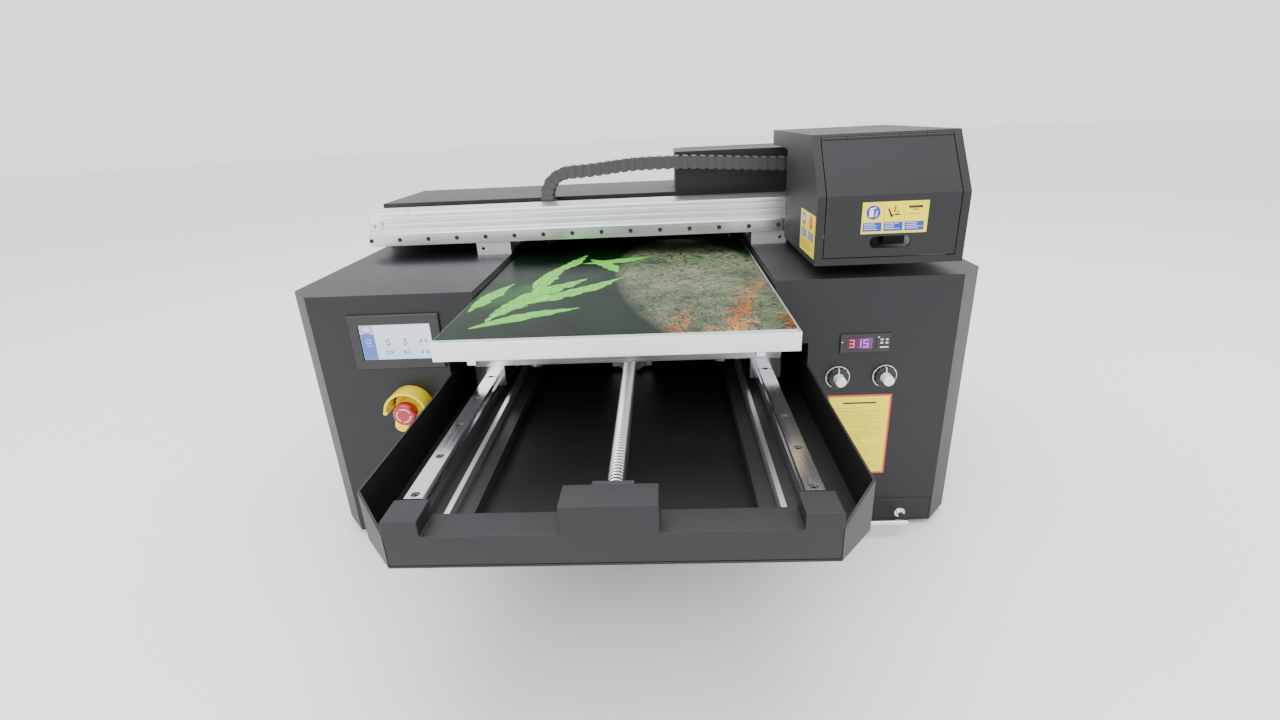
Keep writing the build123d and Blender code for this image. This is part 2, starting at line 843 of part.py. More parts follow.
def hood_skin_solid():
    return prism_x(hood_outline(), hood_left, hood_right) - hood_inside(hood_left - 5, hood_right + 5)


def x_carriage():
    front = beam_front - 16 - 6
    back = front + 6
    plate = block(head_x - 58, head_x + 57, front, back, hood_bottom + 9, hood_top - hood_sheet)
    shelf = block(head_x - 58, head_x + 57, front - 78, front, hood_bottom + 13, hood_bottom + 16)
    for x0, x1 in ((-21.5, 23.5), (28.5, 55.5)):
        shelf -= block(head_x + x0, head_x + x1, front - 63.5, front - 22.5, 0, hood_top)
    clamp_front = beam_front + beam_wall + clamp_clearance
    clamp_back = clamp_front + clamp_thick
    clamp = block(head_x - 10, head_x + 10, back, clamp_back, beam_top + 1.5, beam_top + 4.5)
    clamp += block(head_x - 10, head_x + 10, clamp_front, clamp_back, belt_z + 0.5, beam_top + 1.5)
    arm_top = chain_bottom + 2 * chain_bend_radius + chain_thick
    arm = block(head_x - 58, head_x - 38, back, chain_front + chain_width, arm_top, arm_top + 3)
    return plate + shelf + clamp + arm


def x_block():
    middle = x_rail_bottom + rail_size / 2
    front = beam_front - 16
    body = block(head_x - 30, head_x + 30, front, front + 12, middle - 16, middle + 16)
    return body - prism_x(x_rail_profile(gap), head_x - 31, head_x + 31)


def print_head():
    front = beam_front - 22
    shelf_top = hood_bottom + 16
    y0, y1 = front - 63, front - 23
    head = block(head_x - 21, head_x + 23, y0, y1, 327, shelf_top)
    head += block(head_x - 26, head_x + 26, y0 - 4, y1 + 4, shelf_top, shelf_top + 50)
    for index in range(4):
        x = head_x - 18 + index * 12
        head += rod_z(x, (y0 + y1) / 2, 3, shelf_top + 50, shelf_top + 60)
    return head


def uv_lamp():
    front = beam_front - 22
    shelf_top = hood_bottom + 16
    y0, y1 = front - 63, front - 23
    lamp = block(head_x + 29, head_x + 55, y0, y1, 331, shelf_top)
    lamp += block(head_x + 27.5, head_x + 56.5, y0 - 4, y1 + 4, shelf_top, shelf_top + 56)
    for index in range(6):
        y = y0 + 2 + index * 7
        lamp -= block(head_x + 26, head_x + 58, y, y + 3, shelf_top + 40, shelf_top + 57)
    return lamp


def cap_station():
    x0, x1, y0, y1 = cap_opening(0)
    body = block(x0, x1, y0, y1, cabinet_top - 22, cabinet_top + 3)
    rim = block(head_x - 22, head_x + 24, 394, 436, cabinet_top + 3, 326.5)
    rim -= block(head_x - 19, head_x + 21, 397, 433, cabinet_top + 4, 330)
    return body + rim


# ---------------------------------------------------------------- cable chain
def chain_lower():
    y1 = chain_front + chain_width
    return block(chain_bend_x, chain_fixed_x, chain_front, y1, chain_bottom, chain_bottom + chain_thick)


def chain_upper():
    low = chain_bottom + 2 * chain_bend_radius
    y1 = chain_front + chain_width
    return block(chain_bend_x, chain_moving_x, chain_front, y1, low, low + chain_thick)


def chain_bend():
    centre = chain_bottom + chain_bend_radius + chain_thick / 2
    y1 = chain_front + chain_width
    outer = rod_y(chain_bend_x, centre, chain_bend_radius + chain_thick / 2, chain_front, y1)
    inner = rod_y(chain_bend_x, centre, chain_bend_radius - chain_thick / 2, chain_front - 1, y1 + 1)
    reach = chain_bend_radius + chain_thick
    keep = block(chain_bend_x - reach, chain_bend_x - 0.4, chain_front - 1, y1 + 1, centre - reach, centre + reach)
    return (outer - inner) & keep


# ---------------------------------------------------------------- rear cover and ink box
def rear_cover():
    x = half_width - cover_inset
    cover = block(-x, x, cover_front, overall_depth, cabinet_top, cover_top)
    t = cover_sheet
    cover -= block(-x + t, x - t, cover_front + t, overall_depth - t, cabinet_top - 1, cover_top - t)
    half = tunnel_half + 1
    return cover - block(
        bed_x - half, bed_x + half, cover_front - 1, cover_front + t + 1, cabinet_top - 1, tunnel_back_top)


def ink_box():
    t = cover_sheet
    back = cover_front + ink_depth
    box = block(ink_left, ink_right, cover_front, back, ink_floor, ink_top - lid_thick)
    box -= block(ink_left + t, ink_right - t, cover_front + t, back - t, ink_floor + t, ink_top)
    for piece in lid_knuckles(False):
        span = piece.bounding_box()
        z = lid_hinge()[1]
        box += piece + block(span.min.X, span.max.X, back, lid_hinge()[0], z - 3, z)
    return box + rod_x(*lid_hinge(), hinge_pin, ink_left + 12, ink_right - 12)


def lid_hinge():
    return cover_front + ink_depth + 3.5, ink_top - lid_thick


def lid_knuckles(moving):
    y, z = lid_hinge()
    step = (ink_right - ink_left - 24) / 9
    wanted = 1 if moving else 0
    pieces = []
    for index in range(9):
        if index % 2 == wanted:
            x0 = ink_left + 12 + index * step + gap
            pieces.append(rod_x(y, z, 3, x0, x0 + step - 2 * gap))
    return pieces


def ink_box_lid():
    y, z = lid_hinge()
    back = cover_front + ink_depth
    lid = block(ink_left, ink_right, cover_front, back, z, ink_top)
    for piece in lid_knuckles(True):
        span = piece.bounding_box()
        lid += piece + block(span.min.X, span.max.X, back - 1, y, z + 0.5, z + 2.5)
    return lid - rod_x(y, z, hinge_pin + running, ink_left, ink_right)


def ink_bottles():
    inside = ink_right - ink_left - 2 * cover_sheet
    pitch = inside / bottle_count
    floor = ink_floor + cover_sheet
    bottles = []
    for index in range(bottle_count):
        x = ink_left + cover_sheet + (index + 0.5) * pitch
        y0 = cover_front + 10
        body = block(x - pitch / 2 + 3, x + pitch / 2 - 3, y0, y0 + 84, floor, floor + 36)
        body = fillet(body.edges().filter_by(Axis.Z), 6)
        bottles.append(body + rod_z(x, y0 + 24, 11, floor + 36, floor + 46))
    return group(bottles)


# ---------------------------------------------------------------- front controls
def screen_bezel():
    x0, x1 = bezel_x - bezel_width / 2, bezel_x + bezel_width / 2
    z0, z1 = bezel_z - bezel_height / 2, bezel_z + bezel_height / 2
    frame = block(x0, x1, cabinet_front - 3, cabinet_front, z0, z1)
    frame = chamfer(frame.faces().sort_by(Axis.Y)[0].edges(), 1.2)
    half_x, half_z = window_width / 2, window_height / 2
    frame += block(
        bezel_x - half_x - 5, bezel_x + half_x + 5, cabinet_front, cabinet_front + 22,
        bezel_z - half_z - 5, bezel_z + half_z + 5)
    return frame - block(
        bezel_x - half_x, bezel_x + half_x, cabinet_front - 4, cabinet_front,
        bezel_z - half_z, bezel_z + half_z)


def screen_glass():
    half_x, half_z = window_width / 2 - 0.1, window_height / 2 - 0.1
    return block(
        bezel_x - half_x, bezel_x + half_x, cabinet_front - 1.8, cabinet_front,
        bezel_z - half_z, bezel_z + half_z)


def stop_arch(radius, foot):
    face = Plane.XZ * (Circle(radius) + Pos(0, -foot / 2) * Rectangle(2 * radius - 6, foot))
    return face


def estop_guard():
    front = cabinet_front - 27
    outer = extrude(stop_arch(29, 36), 27)
    inner = extrude(stop_arch(25.5, 40), 25)
    guard = Pos(stop_x, cabinet_front, stop_z) * outer
    guard -= Pos(stop_x, cabinet_front - 2, stop_z) * inner
    guard -= block(stop_x - 40, stop_x + 40, front - 1, cabinet_front - 2, stop_z - 40, stop_z - 22)
    guard += rod_y(stop_x, stop_z, 11, cabinet_front - 12, cabinet_front - 2)
    return guard - rod_y(stop_x, stop_z, post_radius + running, front - 1, cabinet_front + 1)


def estop_stem():
    stem = rod_y(stop_x, stop_z, post_radius, cabinet_front - 20, cabinet_front + 18)
    return stem + rod_y(stop_x, stop_z, 3, cabinet_front - 27, cabinet_front - 20)


def estop_head():
    front = cabinet_front - 30
    head = rod_y(stop_x, stop_z, 13.5, front, cabinet_front - 20 - 0.1)
    head = fillet(head.edges().sort_by(Axis.Y)[0], 3.5)
    return head - rod_y(stop_x, stop_z, 3 + running, cabinet_front - 27.1, cabinet_front)


def thermostat():
    half_x, half_z = thermo_width / 2, thermo_height / 2
    front = block(
        thermo_x - half_x, thermo_x + half_x, cabinet_front - 2, cabinet_front,
        thermo_z - half_z, thermo_z + half_z)
    front = chamfer(front.faces().sort_by(Axis.Y)[0].edges(), 0.8)
    front -= block(thermo_x - half_x + 4, thermo_x + half_x - 16, cabinet_front - 3, cabinet_front - 1.4,
                   thermo_z - half_z + 4, thermo_z + half_z - 4)
    body = block(thermo_x - half_x + 3.5, thermo_x + half_x - 3.5, cabinet_front, cabinet_front + 34,
                 thermo_z - half_z + 2.5, thermo_z + half_z - 2.5)
    return front + body


def dial_plates():
    plates = []
    for x in dial_x:
        plate = rod_y(x, dial_z, dial_radius, cabinet_front - 0.8, cabinet_front)
        pot = rod_y(x, dial_z, 9, cabinet_front + sheet, cabinet_front + sheet + 10)
        pot += rod_y(x, dial_z, 3.4, cabinet_front - 0.4, cabinet_front + sheet + 1)
        plates.append(plate + pot - rod_y(x, dial_z, 2.5 + running, cabinet_front - 1, cabinet_front + 9))
    return group(plates)


def knob(x):
    skirt = rod_y(x, dial_z, 11.5, cabinet_front - 5.1, cabinet_front - 1.1)
    skirt = chamfer(skirt.edges().sort_by(Axis.Y)[0], 1)
    grip = rod_y(x, dial_z, 5.9, cabinet_front - 16.5, cabinet_front - 5.1)
    grip = fillet(grip.edges().sort_by(Axis.Y)[0], 1)
    return skirt + grip + rod_y(x, dial_z, 2.5, cabinet_front - 2, cabinet_front + 8.5)


def waste_drawer():
    front = block(drawer_left, drawer_right, cabinet_front, cabinet_front + sheet, base_top + gap, drawer_top)
    x0, x1 = drawer_left + 4, drawer_right - 6
    y1 = cabinet_front + drawer_length
    tray = block(x0, x1, cabinet_front + sheet, y1, base_top + gap, drawer_top - 4)
    tray -= block(x0 + 1.5, x1 - 1.5, cabinet_front + sheet, y1 - 1.5, base_top + gap + 1.5, drawer_top)
    return front + tray


def drawer_handle():
    radius = 3.5
    out = cabinet_front - 22
    handle = rod_x(out, handle_z, radius, handle_x[0], handle_x[1])
    for x in handle_x:
        handle += rod_y(x, handle_z, radius, out, cabinet_front)
        handle += Pos(x, out, handle_z) * Sphere(radius)
        handle += rod_y(x, handle_z, 6.5, cabinet_front - 2, cabinet_front)
    return handle


nodes = {
    "base_pan": base_pan,
    "rubber_feet": rubber_feet,
    "left_cabinet": left_cabinet,
    "right_cabinet": right_cabinet,
    "bed_frame": bed_frame,
    "rear_panel": rear_panel,
    "rear_cover": rear_cover,
    "power_inlet": lambda: group([power_inlet(), switch_frame()]),
    "rocker_switch": pierced_rocker,
    "power_supply": power_supply,
    "tray_pan": tray_pan,
    "tray_apron": tray_apron,
    "rail_bases": rail_bases,
    "y_rails": y_rails,
    "rail_screws": rail_screws,
    "screw_supports": screw_supports,
    "ball_screw": ball_screw,
    "y_motor": y_motor,
    "y_carriage_plate": y_carriage_plate,
    "bearing_blocks": bearing_blocks,
    "ball_nut": ball_nut,
    "lift_bushes": lift_bushes,
    "lift_motor": lift_motor,
    "lift_nut": lift_nut,
    "bed_plate": bed_plate,
    "sample_board": sample_board,
    "bed_runners": bed_runners,
    "guide_posts": guide_posts,
    "x_beam": x_beam,
    "beam_fittings": beam_fittings,
    "beam_brackets": beam_brackets,
    "x_rail": x_rail,
    "x_motor": x_motor,
    "drive_pulley": drive_pulley,
    "idler_pulley": idler_pulley,
    "x_belt": x_belt,
    "x_carriage": x_carriage,
    "x_block": x_block,
    "print_head": print_head,
    "uv_lamp": uv_lamp,
    "hood_shell": hood_shell,
    "hood_door": hood_door,
    "cap_station": cap_station,
    "chain_lower": chain_lower,
    "chain_upper": chain_upper,
    "chain_bend": chain_bend,
    "ink_box": ink_box,
    "ink_box_lid": ink_box_lid,
    "ink_bottles": ink_bottles,
    "screen_bezel": screen_bezel,
    "screen_glass": screen_glass,
    "estop_guard": estop_guard,
    "estop_stem": estop_stem,
    "estop_head": estop_head,
    "thermostat": thermostat,
    "dial_plates": dial_plates,
    "knob_left": lambda: knob(dial_x[0]),
    "knob_right": lambda: knob(dial_x[1]),
    "waste_drawer": waste_drawer,
    "drawer_handle": drawer_handle,
}

os.makedirs("parts", exist_ok=True)
for name, make in nodes.items():
    export_step(Pos(0, -overall_depth / 2, 0) * make(), f"parts/{name}.step")
print(len(nodes), "nodes")
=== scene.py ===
import json
import math
import random

import bmesh
import bpy
from mathutils import Matrix, Vector


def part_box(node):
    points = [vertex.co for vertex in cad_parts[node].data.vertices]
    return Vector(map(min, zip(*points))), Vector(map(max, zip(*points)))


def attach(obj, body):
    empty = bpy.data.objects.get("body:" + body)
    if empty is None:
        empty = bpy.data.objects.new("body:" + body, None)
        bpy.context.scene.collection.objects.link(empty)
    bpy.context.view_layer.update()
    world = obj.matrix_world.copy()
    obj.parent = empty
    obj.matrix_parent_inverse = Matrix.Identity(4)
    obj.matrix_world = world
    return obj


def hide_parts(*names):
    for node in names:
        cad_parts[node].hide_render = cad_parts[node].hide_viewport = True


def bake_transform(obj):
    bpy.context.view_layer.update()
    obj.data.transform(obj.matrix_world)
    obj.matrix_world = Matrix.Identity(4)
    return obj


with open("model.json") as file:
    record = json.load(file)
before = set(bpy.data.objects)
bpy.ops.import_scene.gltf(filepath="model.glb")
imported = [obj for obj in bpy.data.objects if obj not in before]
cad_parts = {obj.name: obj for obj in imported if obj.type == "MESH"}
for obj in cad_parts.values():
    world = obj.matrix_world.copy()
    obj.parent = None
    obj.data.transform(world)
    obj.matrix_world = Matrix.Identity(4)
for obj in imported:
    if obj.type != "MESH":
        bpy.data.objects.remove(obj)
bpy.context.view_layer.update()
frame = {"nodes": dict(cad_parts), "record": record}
nodes = frame["nodes"]
slotOf = {part["node"]: part["material_slot"] for part in frame["record"]["subparts"]}
bodyOf = {node: body for body, members in frame["record"]["behaviour"]["bodies"].items() for node in members}
mm = 0.001
print("frame loaded:", len(nodes), "nodes")


# helpers for materials

class Link:
    # a socket that can be used in sums; every operator adds a Math node
    def __init__(self, shader, socket):
        self.shader = shader
        self.socket = socket

    def do(self, operation, *values):
        return self.shader.node("ShaderNodeMath", {"operation": operation}, dict(enumerate(values)))

    def __add__(self, other):
        return self.do("ADD", self, other)

    def __sub__(self, other):
        return self.do("SUBTRACT", self, other)

    def __rsub__(self, other):
        return self.do("SUBTRACT", other, self)

    def __mul__(self, other):
        return self.do("MULTIPLY", self, other)

    def __truediv__(self, other):
        return self.do("DIVIDE", self, other)

    def __gt__(self, other):
        return self.do("GREATER_THAN", self, other)

    def __lt__(self, other):
        return self.do("LESS_THAN", self, other)

    def __abs__(self):
        return self.do("ABSOLUTE", self)

    __radd__ = __add__
    __rmul__ = __mul__

    def most(self, other):
        return self.do("MAXIMUM", self, other)

    def least(self, other):
        return self.do("MINIMUM", self, other)

    def root(self):
        return self.do("SQRT", self)

    def sine(self):
        return self.do("SINE", self)


class Shader:
    def __init__(self, name):
        self.material = bpy.data.materials.new(name)
        self.material.use_nodes = True
        self.tree = self.material.node_tree
        self.tree.nodes.clear()
        self.place = self.node("ShaderNodeTexCoord", output="Object")

    def node(self, kind, settings=None, inputs=None, output=0):
        made = self.tree.nodes.new(kind)
        for key, value in (settings or {}).items():
            if key == "stops":
                for index, (at, colour) in enumerate(value):
                    ramp = made.color_ramp.elements
                    stop = ramp[index] if index < 2 else ramp.new(at)
                    stop.position = at
                    stop.color = (*colour, 1)
            else:
                setattr(made, key, value)
        for key, value in (inputs or {}).items():
            if isinstance(value, Link):
                self.tree.links.new(value.socket, made.inputs[key])
            else:
                made.inputs[key].default_value = value
        return None if output is None else Link(self, made.outputs[output])

    def axes(self, source=None):
        source = source or self.place
        return [self.node("ShaderNodeSeparateXYZ", None, {0: source}, output=axis) for axis in range(3)]

    def stretched(self, scale, shift=(0, 0, 0), turn=(0, 0, 0)):
        return self.node("ShaderNodeMapping", None, {
            "Vector": self.place, "Location": shift, "Rotation": turn, "Scale": scale})

    def noise(self, source, scale, detail=2.0, rough=0.5):
        return self.node("ShaderNodeTexNoise", None, {
            "Vector": source, "Scale": scale, "Detail": detail, "Roughness": rough})

    def cells(self, source, scale, feature="F1"):
        return self.node("ShaderNodeTexVoronoi", {"feature": feature}, {"Vector": source, "Scale": scale})

    def blend(self, share, first, second):
        full = [colour if isinstance(colour, Link) else (*colour, 1) for colour in (first, second)]
        settings = {"data_type": "RGBA", "clamp_factor": True}
        return self.node("ShaderNodeMix", settings, {0: share, 6: full[0], 7: full[1]}, output=2)

    def ramp(self, value, stops):
        return self.node("ShaderNodeValToRGB", {"stops": stops}, {0: value})

    def soft(self, value, low, high):
        return self.node("ShaderNodeMapRange", {"interpolation_type": "SMOOTHSTEP"}, {
            "Value": value, "From Min": low, "From Max": high})

    def finish(self, looks, height=None, strength=0.2, depth=0.0003):
        inputs = {key: (*value, 1) if isinstance(value, tuple) else value for key, value in looks.items()}
        if height is not None:
            inputs["Normal"] = self.node("ShaderNodeBump", None, {
                "Strength": strength, "Distance": depth, "Height": height})
        surface = self.node("ShaderNodeBsdfPrincipled", None, inputs)
        self.node("ShaderNodeOutputMaterial", None, {"Surface": surface}, output=None)
        return self.material


def shade(colour, amount):
    return tuple(channel * amount for channel in colour)


# finishes, one function for each kind

def powderCoat(name, colour, rough=0.42, grain=2600, strength=0.16):
    shader = Shader(name)
    fine = shader.noise(shader.place, grain, 2)
    broad = shader.noise(shader.place, 7, 3)
    dust = shader.noise(shader.place, 60, 4, 0.6)
    tone = shader.blend(broad * 0.7 + dust * 0.3, shade(colour, 0.72), shade(colour, 1.32))
    return shader.finish({
        "Base Color": tone, "Roughness": rough + (broad - 0.5) * 0.16 + (dust - 0.5) * 0.06,
    }, fine, strength, 0.0004)


def brushed(name, colour, along, rough=0.28, strength=0.06, metallic=1.0):
    # hair lines run along one axis
    shader = Shader(name)
    scale = [1400.0] * 3
    scale[along] = 9.0
    lines = shader.noise(shader.stretched(scale), 1, 2)
    broad = shader.noise(shader.place, 11, 2)
    tone = shader.blend(lines * 0.5 + broad * 0.5, shade(colour, 0.86), shade(colour, 1.05))
    return shader.finish({
        "Base Color": tone, "Metallic": metallic,
        "Roughness": rough + (lines - 0.5) * 0.22 + (broad - 0.5) * 0.10,
    }, lines, strength, 0.0002)


def moulded(name, colour, rough=0.38, grain=1500, strength=0.05, coat=0.0):
    shader = Shader(name)
    fine = shader.noise(shader.place, grain, 2)
    broad = shader.noise(shader.place, 25, 2)
    tone = shader.blend(broad, shade(colour, 0.86), shade(colour, 1.12))
    return shader.finish({
        "Base Color": tone, "Roughness": rough + (broad - 0.5) * 0.14, "Coat Weight": coat,
    }, fine, strength, 0.0002)


def glowing(name, colour, strength=1.0):
    shader = Shader(name)
    slow = shader.noise(shader.place, 90, 2)
    tone = shader.blend(slow, shade(colour, 0.9), colour)
    return shader.finish({
        "Base Color": (0.02, 0.02, 0.02), "Roughness": 0.2,
        "Emission Color": tone, "Emission Strength": strength})


def printed(name, colour, rough=0.32):
    shader = Shader(name)
    fleck = shader.noise(shader.place, 700, 2)
    return shader.finish({
        "Base Color": shader.blend(fleck, shade(colour, 0.9), shade(colour, 1.04)),
        "Roughness": rough + fleck * 0.06})


finishes = {
    "black_powder": powderCoat("blackPowder", (0.0042, 0.0044, 0.0060), 0.50),
    "dark_steel": powderCoat("darkSteel", (0.03, 0.03, 0.034), 0.4),
    "aluminium": brushed("brushedAluminium", (0.86, 0.87, 0.88), 0, 0.30),
    "rail_steel": brushed("groundSteel", (0.70, 0.70, 0.72), 1, 0.17),
    "screw_steel": brushed("screwSteel", (0.74, 0.73, 0.71), 1, 0.22),
    "black_fastener": moulded("blackenedSteel", (0.03, 0.03, 0.032), 0.35),
    "chrome": brushed("chromePlate", (0.86, 0.87, 0.89), 0, 0.08, 0.01),
    "black_plastic": moulded("blackPlastic", (0.016, 0.016, 0.018), 0.36),
    "grey_plastic": moulded("greyPlastic", (0.17, 0.17, 0.18), 0.4),
    "rubber": moulded("softRubber", (0.018, 0.018, 0.018), 0.7, 900, 0.15),
    "printed_board": moulded("boardEdge", (0.55, 0.57, 0.5), 0.3),
    "screen": moulded("screenGlass", (0.01, 0.01, 0.012), 0.08, coat=0.6),
    "yellow_plastic": moulded("yellowPlastic", (0.92, 0.70, 0.002), 0.34, 900, 0.04, 0.25),
    "red_plastic": moulded("redPlastic", (0.36, 0.001, 0.008), 0.22, 900, 0.03, 0.5),
    "white_plastic": moulded("whitePlastic", (0.80, 0.80, 0.78), 0.34),
    "ink_bottle": moulded("milkyPlastic", (0.66, 0.67, 0.63), 0.45),
    "belt": moulded("beltRubber", (0.02, 0.02, 0.02), 0.62, 1200, 0.2),
}
trayLow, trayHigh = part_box("tray_pan")
trayRib = {"low": 2.5 * mm, "high": 14.5 * mm, "pastWidth": 0.26}
baseLip = 27.9 * mm  # from the outer edge of a rail base to its lip


def trayCoat(name, colour, ribColour):
    # the floor ribs keep a paler satin coat than the floor
    shader = Shader(name)
    x, y, z = shader.axes()
    offCentre = abs(x - (trayLow.x + trayHigh.x) / 2)
    inner = trayHigh.x - trayLow.x - trayRib["pastWidth"]
    rib = (z > trayLow.z + trayRib["low"]) * (z < trayLow.z + trayRib["high"]) * (offCentre < inner)
    fine = shader.noise(shader.place, 2400, 2)
    broad = shader.noise(shader.place, 8, 3)
    tone = shader.blend(rib, shader.blend(broad, shade(colour, 0.7), shade(colour, 1.3)), ribColour)
    return shader.finish({
        "Base Color": tone, "Roughness": 0.52 - rib * 0.1 + (broad - 0.5) * 0.14}, fine, 0.16, 0.0004)


def baseCoat(name, colour, lipColour):
    # painted angle whose raised inner lip is bare metal
    shader = Shader(name)
    x, y, z = shader.axes()
    lowX, highX = (corner.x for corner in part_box("rail_bases"))
    inward = (highX - lowX) / 2 - abs(x - (lowX + highX) / 2)
    lip = inward > baseLip
    grain = shader.noise(shader.place, 900, 2)
    tone = shader.blend(lip, shader.blend(grain, shade(colour, 0.7), shade(colour, 1.3)), lipColour)
    return shader.finish({
        "Base Color": tone, "Metallic": lip, "Roughness": 0.42 - lip * 0.08 + grain * 0.05,
    }, grain, 0.06, 0.0002)


acrossSteel = brushed("beamRailSteel", (0.70, 0.70, 0.73), 0, 0.20)
deepAluminium = brushed("lengthwiseAluminium", (0.84, 0.85, 0.86), 1, 0.30)
special = {
    "x_rail": acrossSteel, "bed_plate": brushed("tableAluminium", (0.90, 0.90, 0.91), 0, 0.34),
    "rail_bases": baseCoat("railBaseSteel", (0.030, 0.030, 0.032), (0.80, 0.81, 0.82)),
    "bed_runners": deepAluminium,
    "beam_brackets": brushed("bracketAluminium", (0.72, 0.73, 0.75), 0, 0.38),
    "tray_pan": trayCoat("trayPowder", (0.0040, 0.0040, 0.0048), (0.020, 0.018, 0.018)),
    "rear_cover": powderCoat("coverPowder", (0.008, 0.0068, 0.006), 0.48),
}
for nodeName, obj in nodes.items():
    obj.data.materials.clear()
    obj.data.materials.append(special.get(nodeName, finishes[slotOf[nodeName]]))
print("finishes made:", len(finishes) + len(special))


# helpers for shapes

def addBox(mesh, low, high, slot=0, turned=Matrix.Identity(4)):
    size = [b - a for a, b in zip(low, high)]
    middle = [(a + b) / 2 for a, b in zip(low, high)]
    made = bmesh.ops.create_cube(
        mesh, size=1, matrix=turned @ Matrix.Translation(middle) @ Matrix.Diagonal((*size, 1)))
    for face in {face for vert in made["verts"] for face in vert.link_faces}:
        face.material_index = slot
    return made["verts"]


def addRod(mesh, start, end, radius, sides=32, slot=0, tip=None):
    start, end = Vector(start), Vector(end)
    along = end - start
    spin = along.normalized().to_track_quat("Z", "Y").to_matrix().to_4x4()
    made = bmesh.ops.create_cone(
        mesh, cap_ends=True, segments=sides, radius1=radius, radius2=radius if tip is None else tip,
        depth=along.length, matrix=Matrix.Translation((start + end) / 2) @ spin)
    for face in {face for vert in made["verts"] for face in vert.link_faces}:
        face.material_index = slot
    return made["verts"]


def addTurned(mesh, outline, centre, axis, sides=48, slot=0):
    # outline is a list of (along the axis, radius); both ends close on the axis or on themselves
    axis = Vector(axis)
    out = axis.orthogonal().normalized()
    centre = Vector(centre)
    before = set(mesh.faces)
    verts = [mesh.verts.new(centre + axis * a + out * r) for a, r in outline]
    edges = [mesh.edges.new(pair) for pair in zip(verts, verts[1:])]
    bmesh.ops.spin(mesh, geom=verts + edges, cent=centre, axis=axis, angle=2 * math.pi, steps=sides,
                   use_merge=True)
    made = [face for face in mesh.faces if face not in before]
    bmesh.ops.remove_doubles(mesh, verts=list({v for f in made for v in f.verts}), dist=1e-7)
    made = [face for face in mesh.faces if face not in before]
    for face in made:
        face.material_index = slot
    bmesh.ops.recalc_face_normals(mesh, faces=made)
    return made


def addArc(mesh, centre, inner, outer, start, sweep, thick, steps, slot=0):
    # a flat ring segment that faces -Y; angles in degrees, clockwise seen from the front is negative
    centre = Vector(centre)
    turn = Matrix.Rotation(math.radians(-start), 3, "Y")
    corners = [(inner, 0), (outer, 0), (outer, thick), (inner, thick)]
    verts = [mesh.verts.new(centre + turn @ Vector((r, y, 0))) for r, y in corners]
    face = mesh.faces.new(verts)
    face.material_index = slot
    before = set(mesh.faces) - {face}
    bmesh.ops.spin(mesh, geom=[face] + list(face.edges) + verts, cent=centre, axis=(0, -1, 0),
                   angle=math.radians(sweep), steps=steps, use_duplicate=False)
    made = [f for f in mesh.faces if f not in before]
    for f in made:
        f.material_index = slot
    bmesh.ops.recalc_face_normals(mesh, faces=made)


def softenEdges(mesh, width, segments=2, angle=30):
    sharp = [edge for edge in mesh.edges if edge.is_manifold and edge.calc_face_angle() > math.radians(angle)]
    bmesh.ops.bevel(mesh, geom=sharp, offset=width, offset_type="OFFSET", segments=segments, profile=0.5,
                    affect="EDGES", clamp_overlap=True, material=-1)


def makePiece(name, mesh, materials, body=None, replaces=(), angle=35):
    data = bpy.data.meshes.new(name)
    mesh.to_mesh(data)
    mesh.free()
    for material in materials:
        data.materials.append(material)
    data.polygons.foreach_set("use_smooth", [True] * len(data.polygons))
    data.set_sharp_from_angle(angle=math.radians(angle))
    piece = bpy.data.objects.new(name, data)
    bpy.context.scene.collection.objects.link(piece)
    if body:
        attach(piece, body)
    if replaces:
        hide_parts(*replaces)
    return piece


# folded and machined parts get the small edge radius that real ones have

edgeRadius = {
    "left_cabinet": 1.6, "right_cabinet": 1.6, "tray_apron": 2.2, "tray_pan": 0.7, "base_pan": 0.6,
    "rear_cover": 1.2, "ink_box": 1.2, "screen_bezel": 0.5, "bed_plate": 0.5, "x_beam": 0.5,
    "beam_brackets": 0.6, "waste_drawer": 0.5, "y_rails": 0.35, "x_rail": 0.35, "rail_bases": 0.4,
    "cap_station": 0.6, "bed_runners": 0.4, "y_carriage_plate": 0.5, "uv_lamp": 0.5,
    "print_head": 0.5, "y_motor": 0.8, "lift_motor": 0.8, "x_motor": 0.8, "thermostat": 0.3,
}


def softEdged(node, radius):
    mesh = bmesh.new()
    mesh.from_mesh(nodes[node].data)
    bmesh.ops.remove_doubles(mesh, verts=mesh.verts, dist=2e-6)
    bmesh.ops.dissolve_limit(mesh, angle_limit=math.radians(1), verts=mesh.verts, edges=mesh.edges)
    softenEdges(mesh, radius * mm, 2, 40)
    words = node.split("_")
    name = words[0] + "".join(word.capitalize() for word in words[1:]) + "Skin"
    materials = [special.get(node, finishes[slotOf[node]])]
    piece = makePiece(name, mesh, materials, bodyOf[node], [node], 50)
    evened = piece.modifiers.new("evenedNormals", "WEIGHTED_NORMAL")
    evened.keep_sharp = True
    return piece


for nodeName, radius in edgeRadius.items():
    softEdged(nodeName, radius)
print("edges softened:", len(edgeRadius))


# cable chain

chain = {
    "pitch": 12.6 * mm, "sidePlate": 2.2 * mm, "step": 1.1 * mm, "overlap": 1.2 * mm,
    "sag": 8.5 * mm, "bendDrop": 7.5 * mm,
}
chainPlastic = moulded("chainPlastic", (0.042, 0.042, 0.044), 0.38, 1100, 0.12)
lowerLow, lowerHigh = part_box("chain_lower")
upperLow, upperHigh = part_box("chain_upper")
chainHalf = (lowerHigh.z - lowerLow.z) / 2
chainBendX = lowerLow.x
lowerMid = (lowerHigh.z + lowerLow.z) / 2
upperMid = (upperHigh.z + upperLow.z) / 2


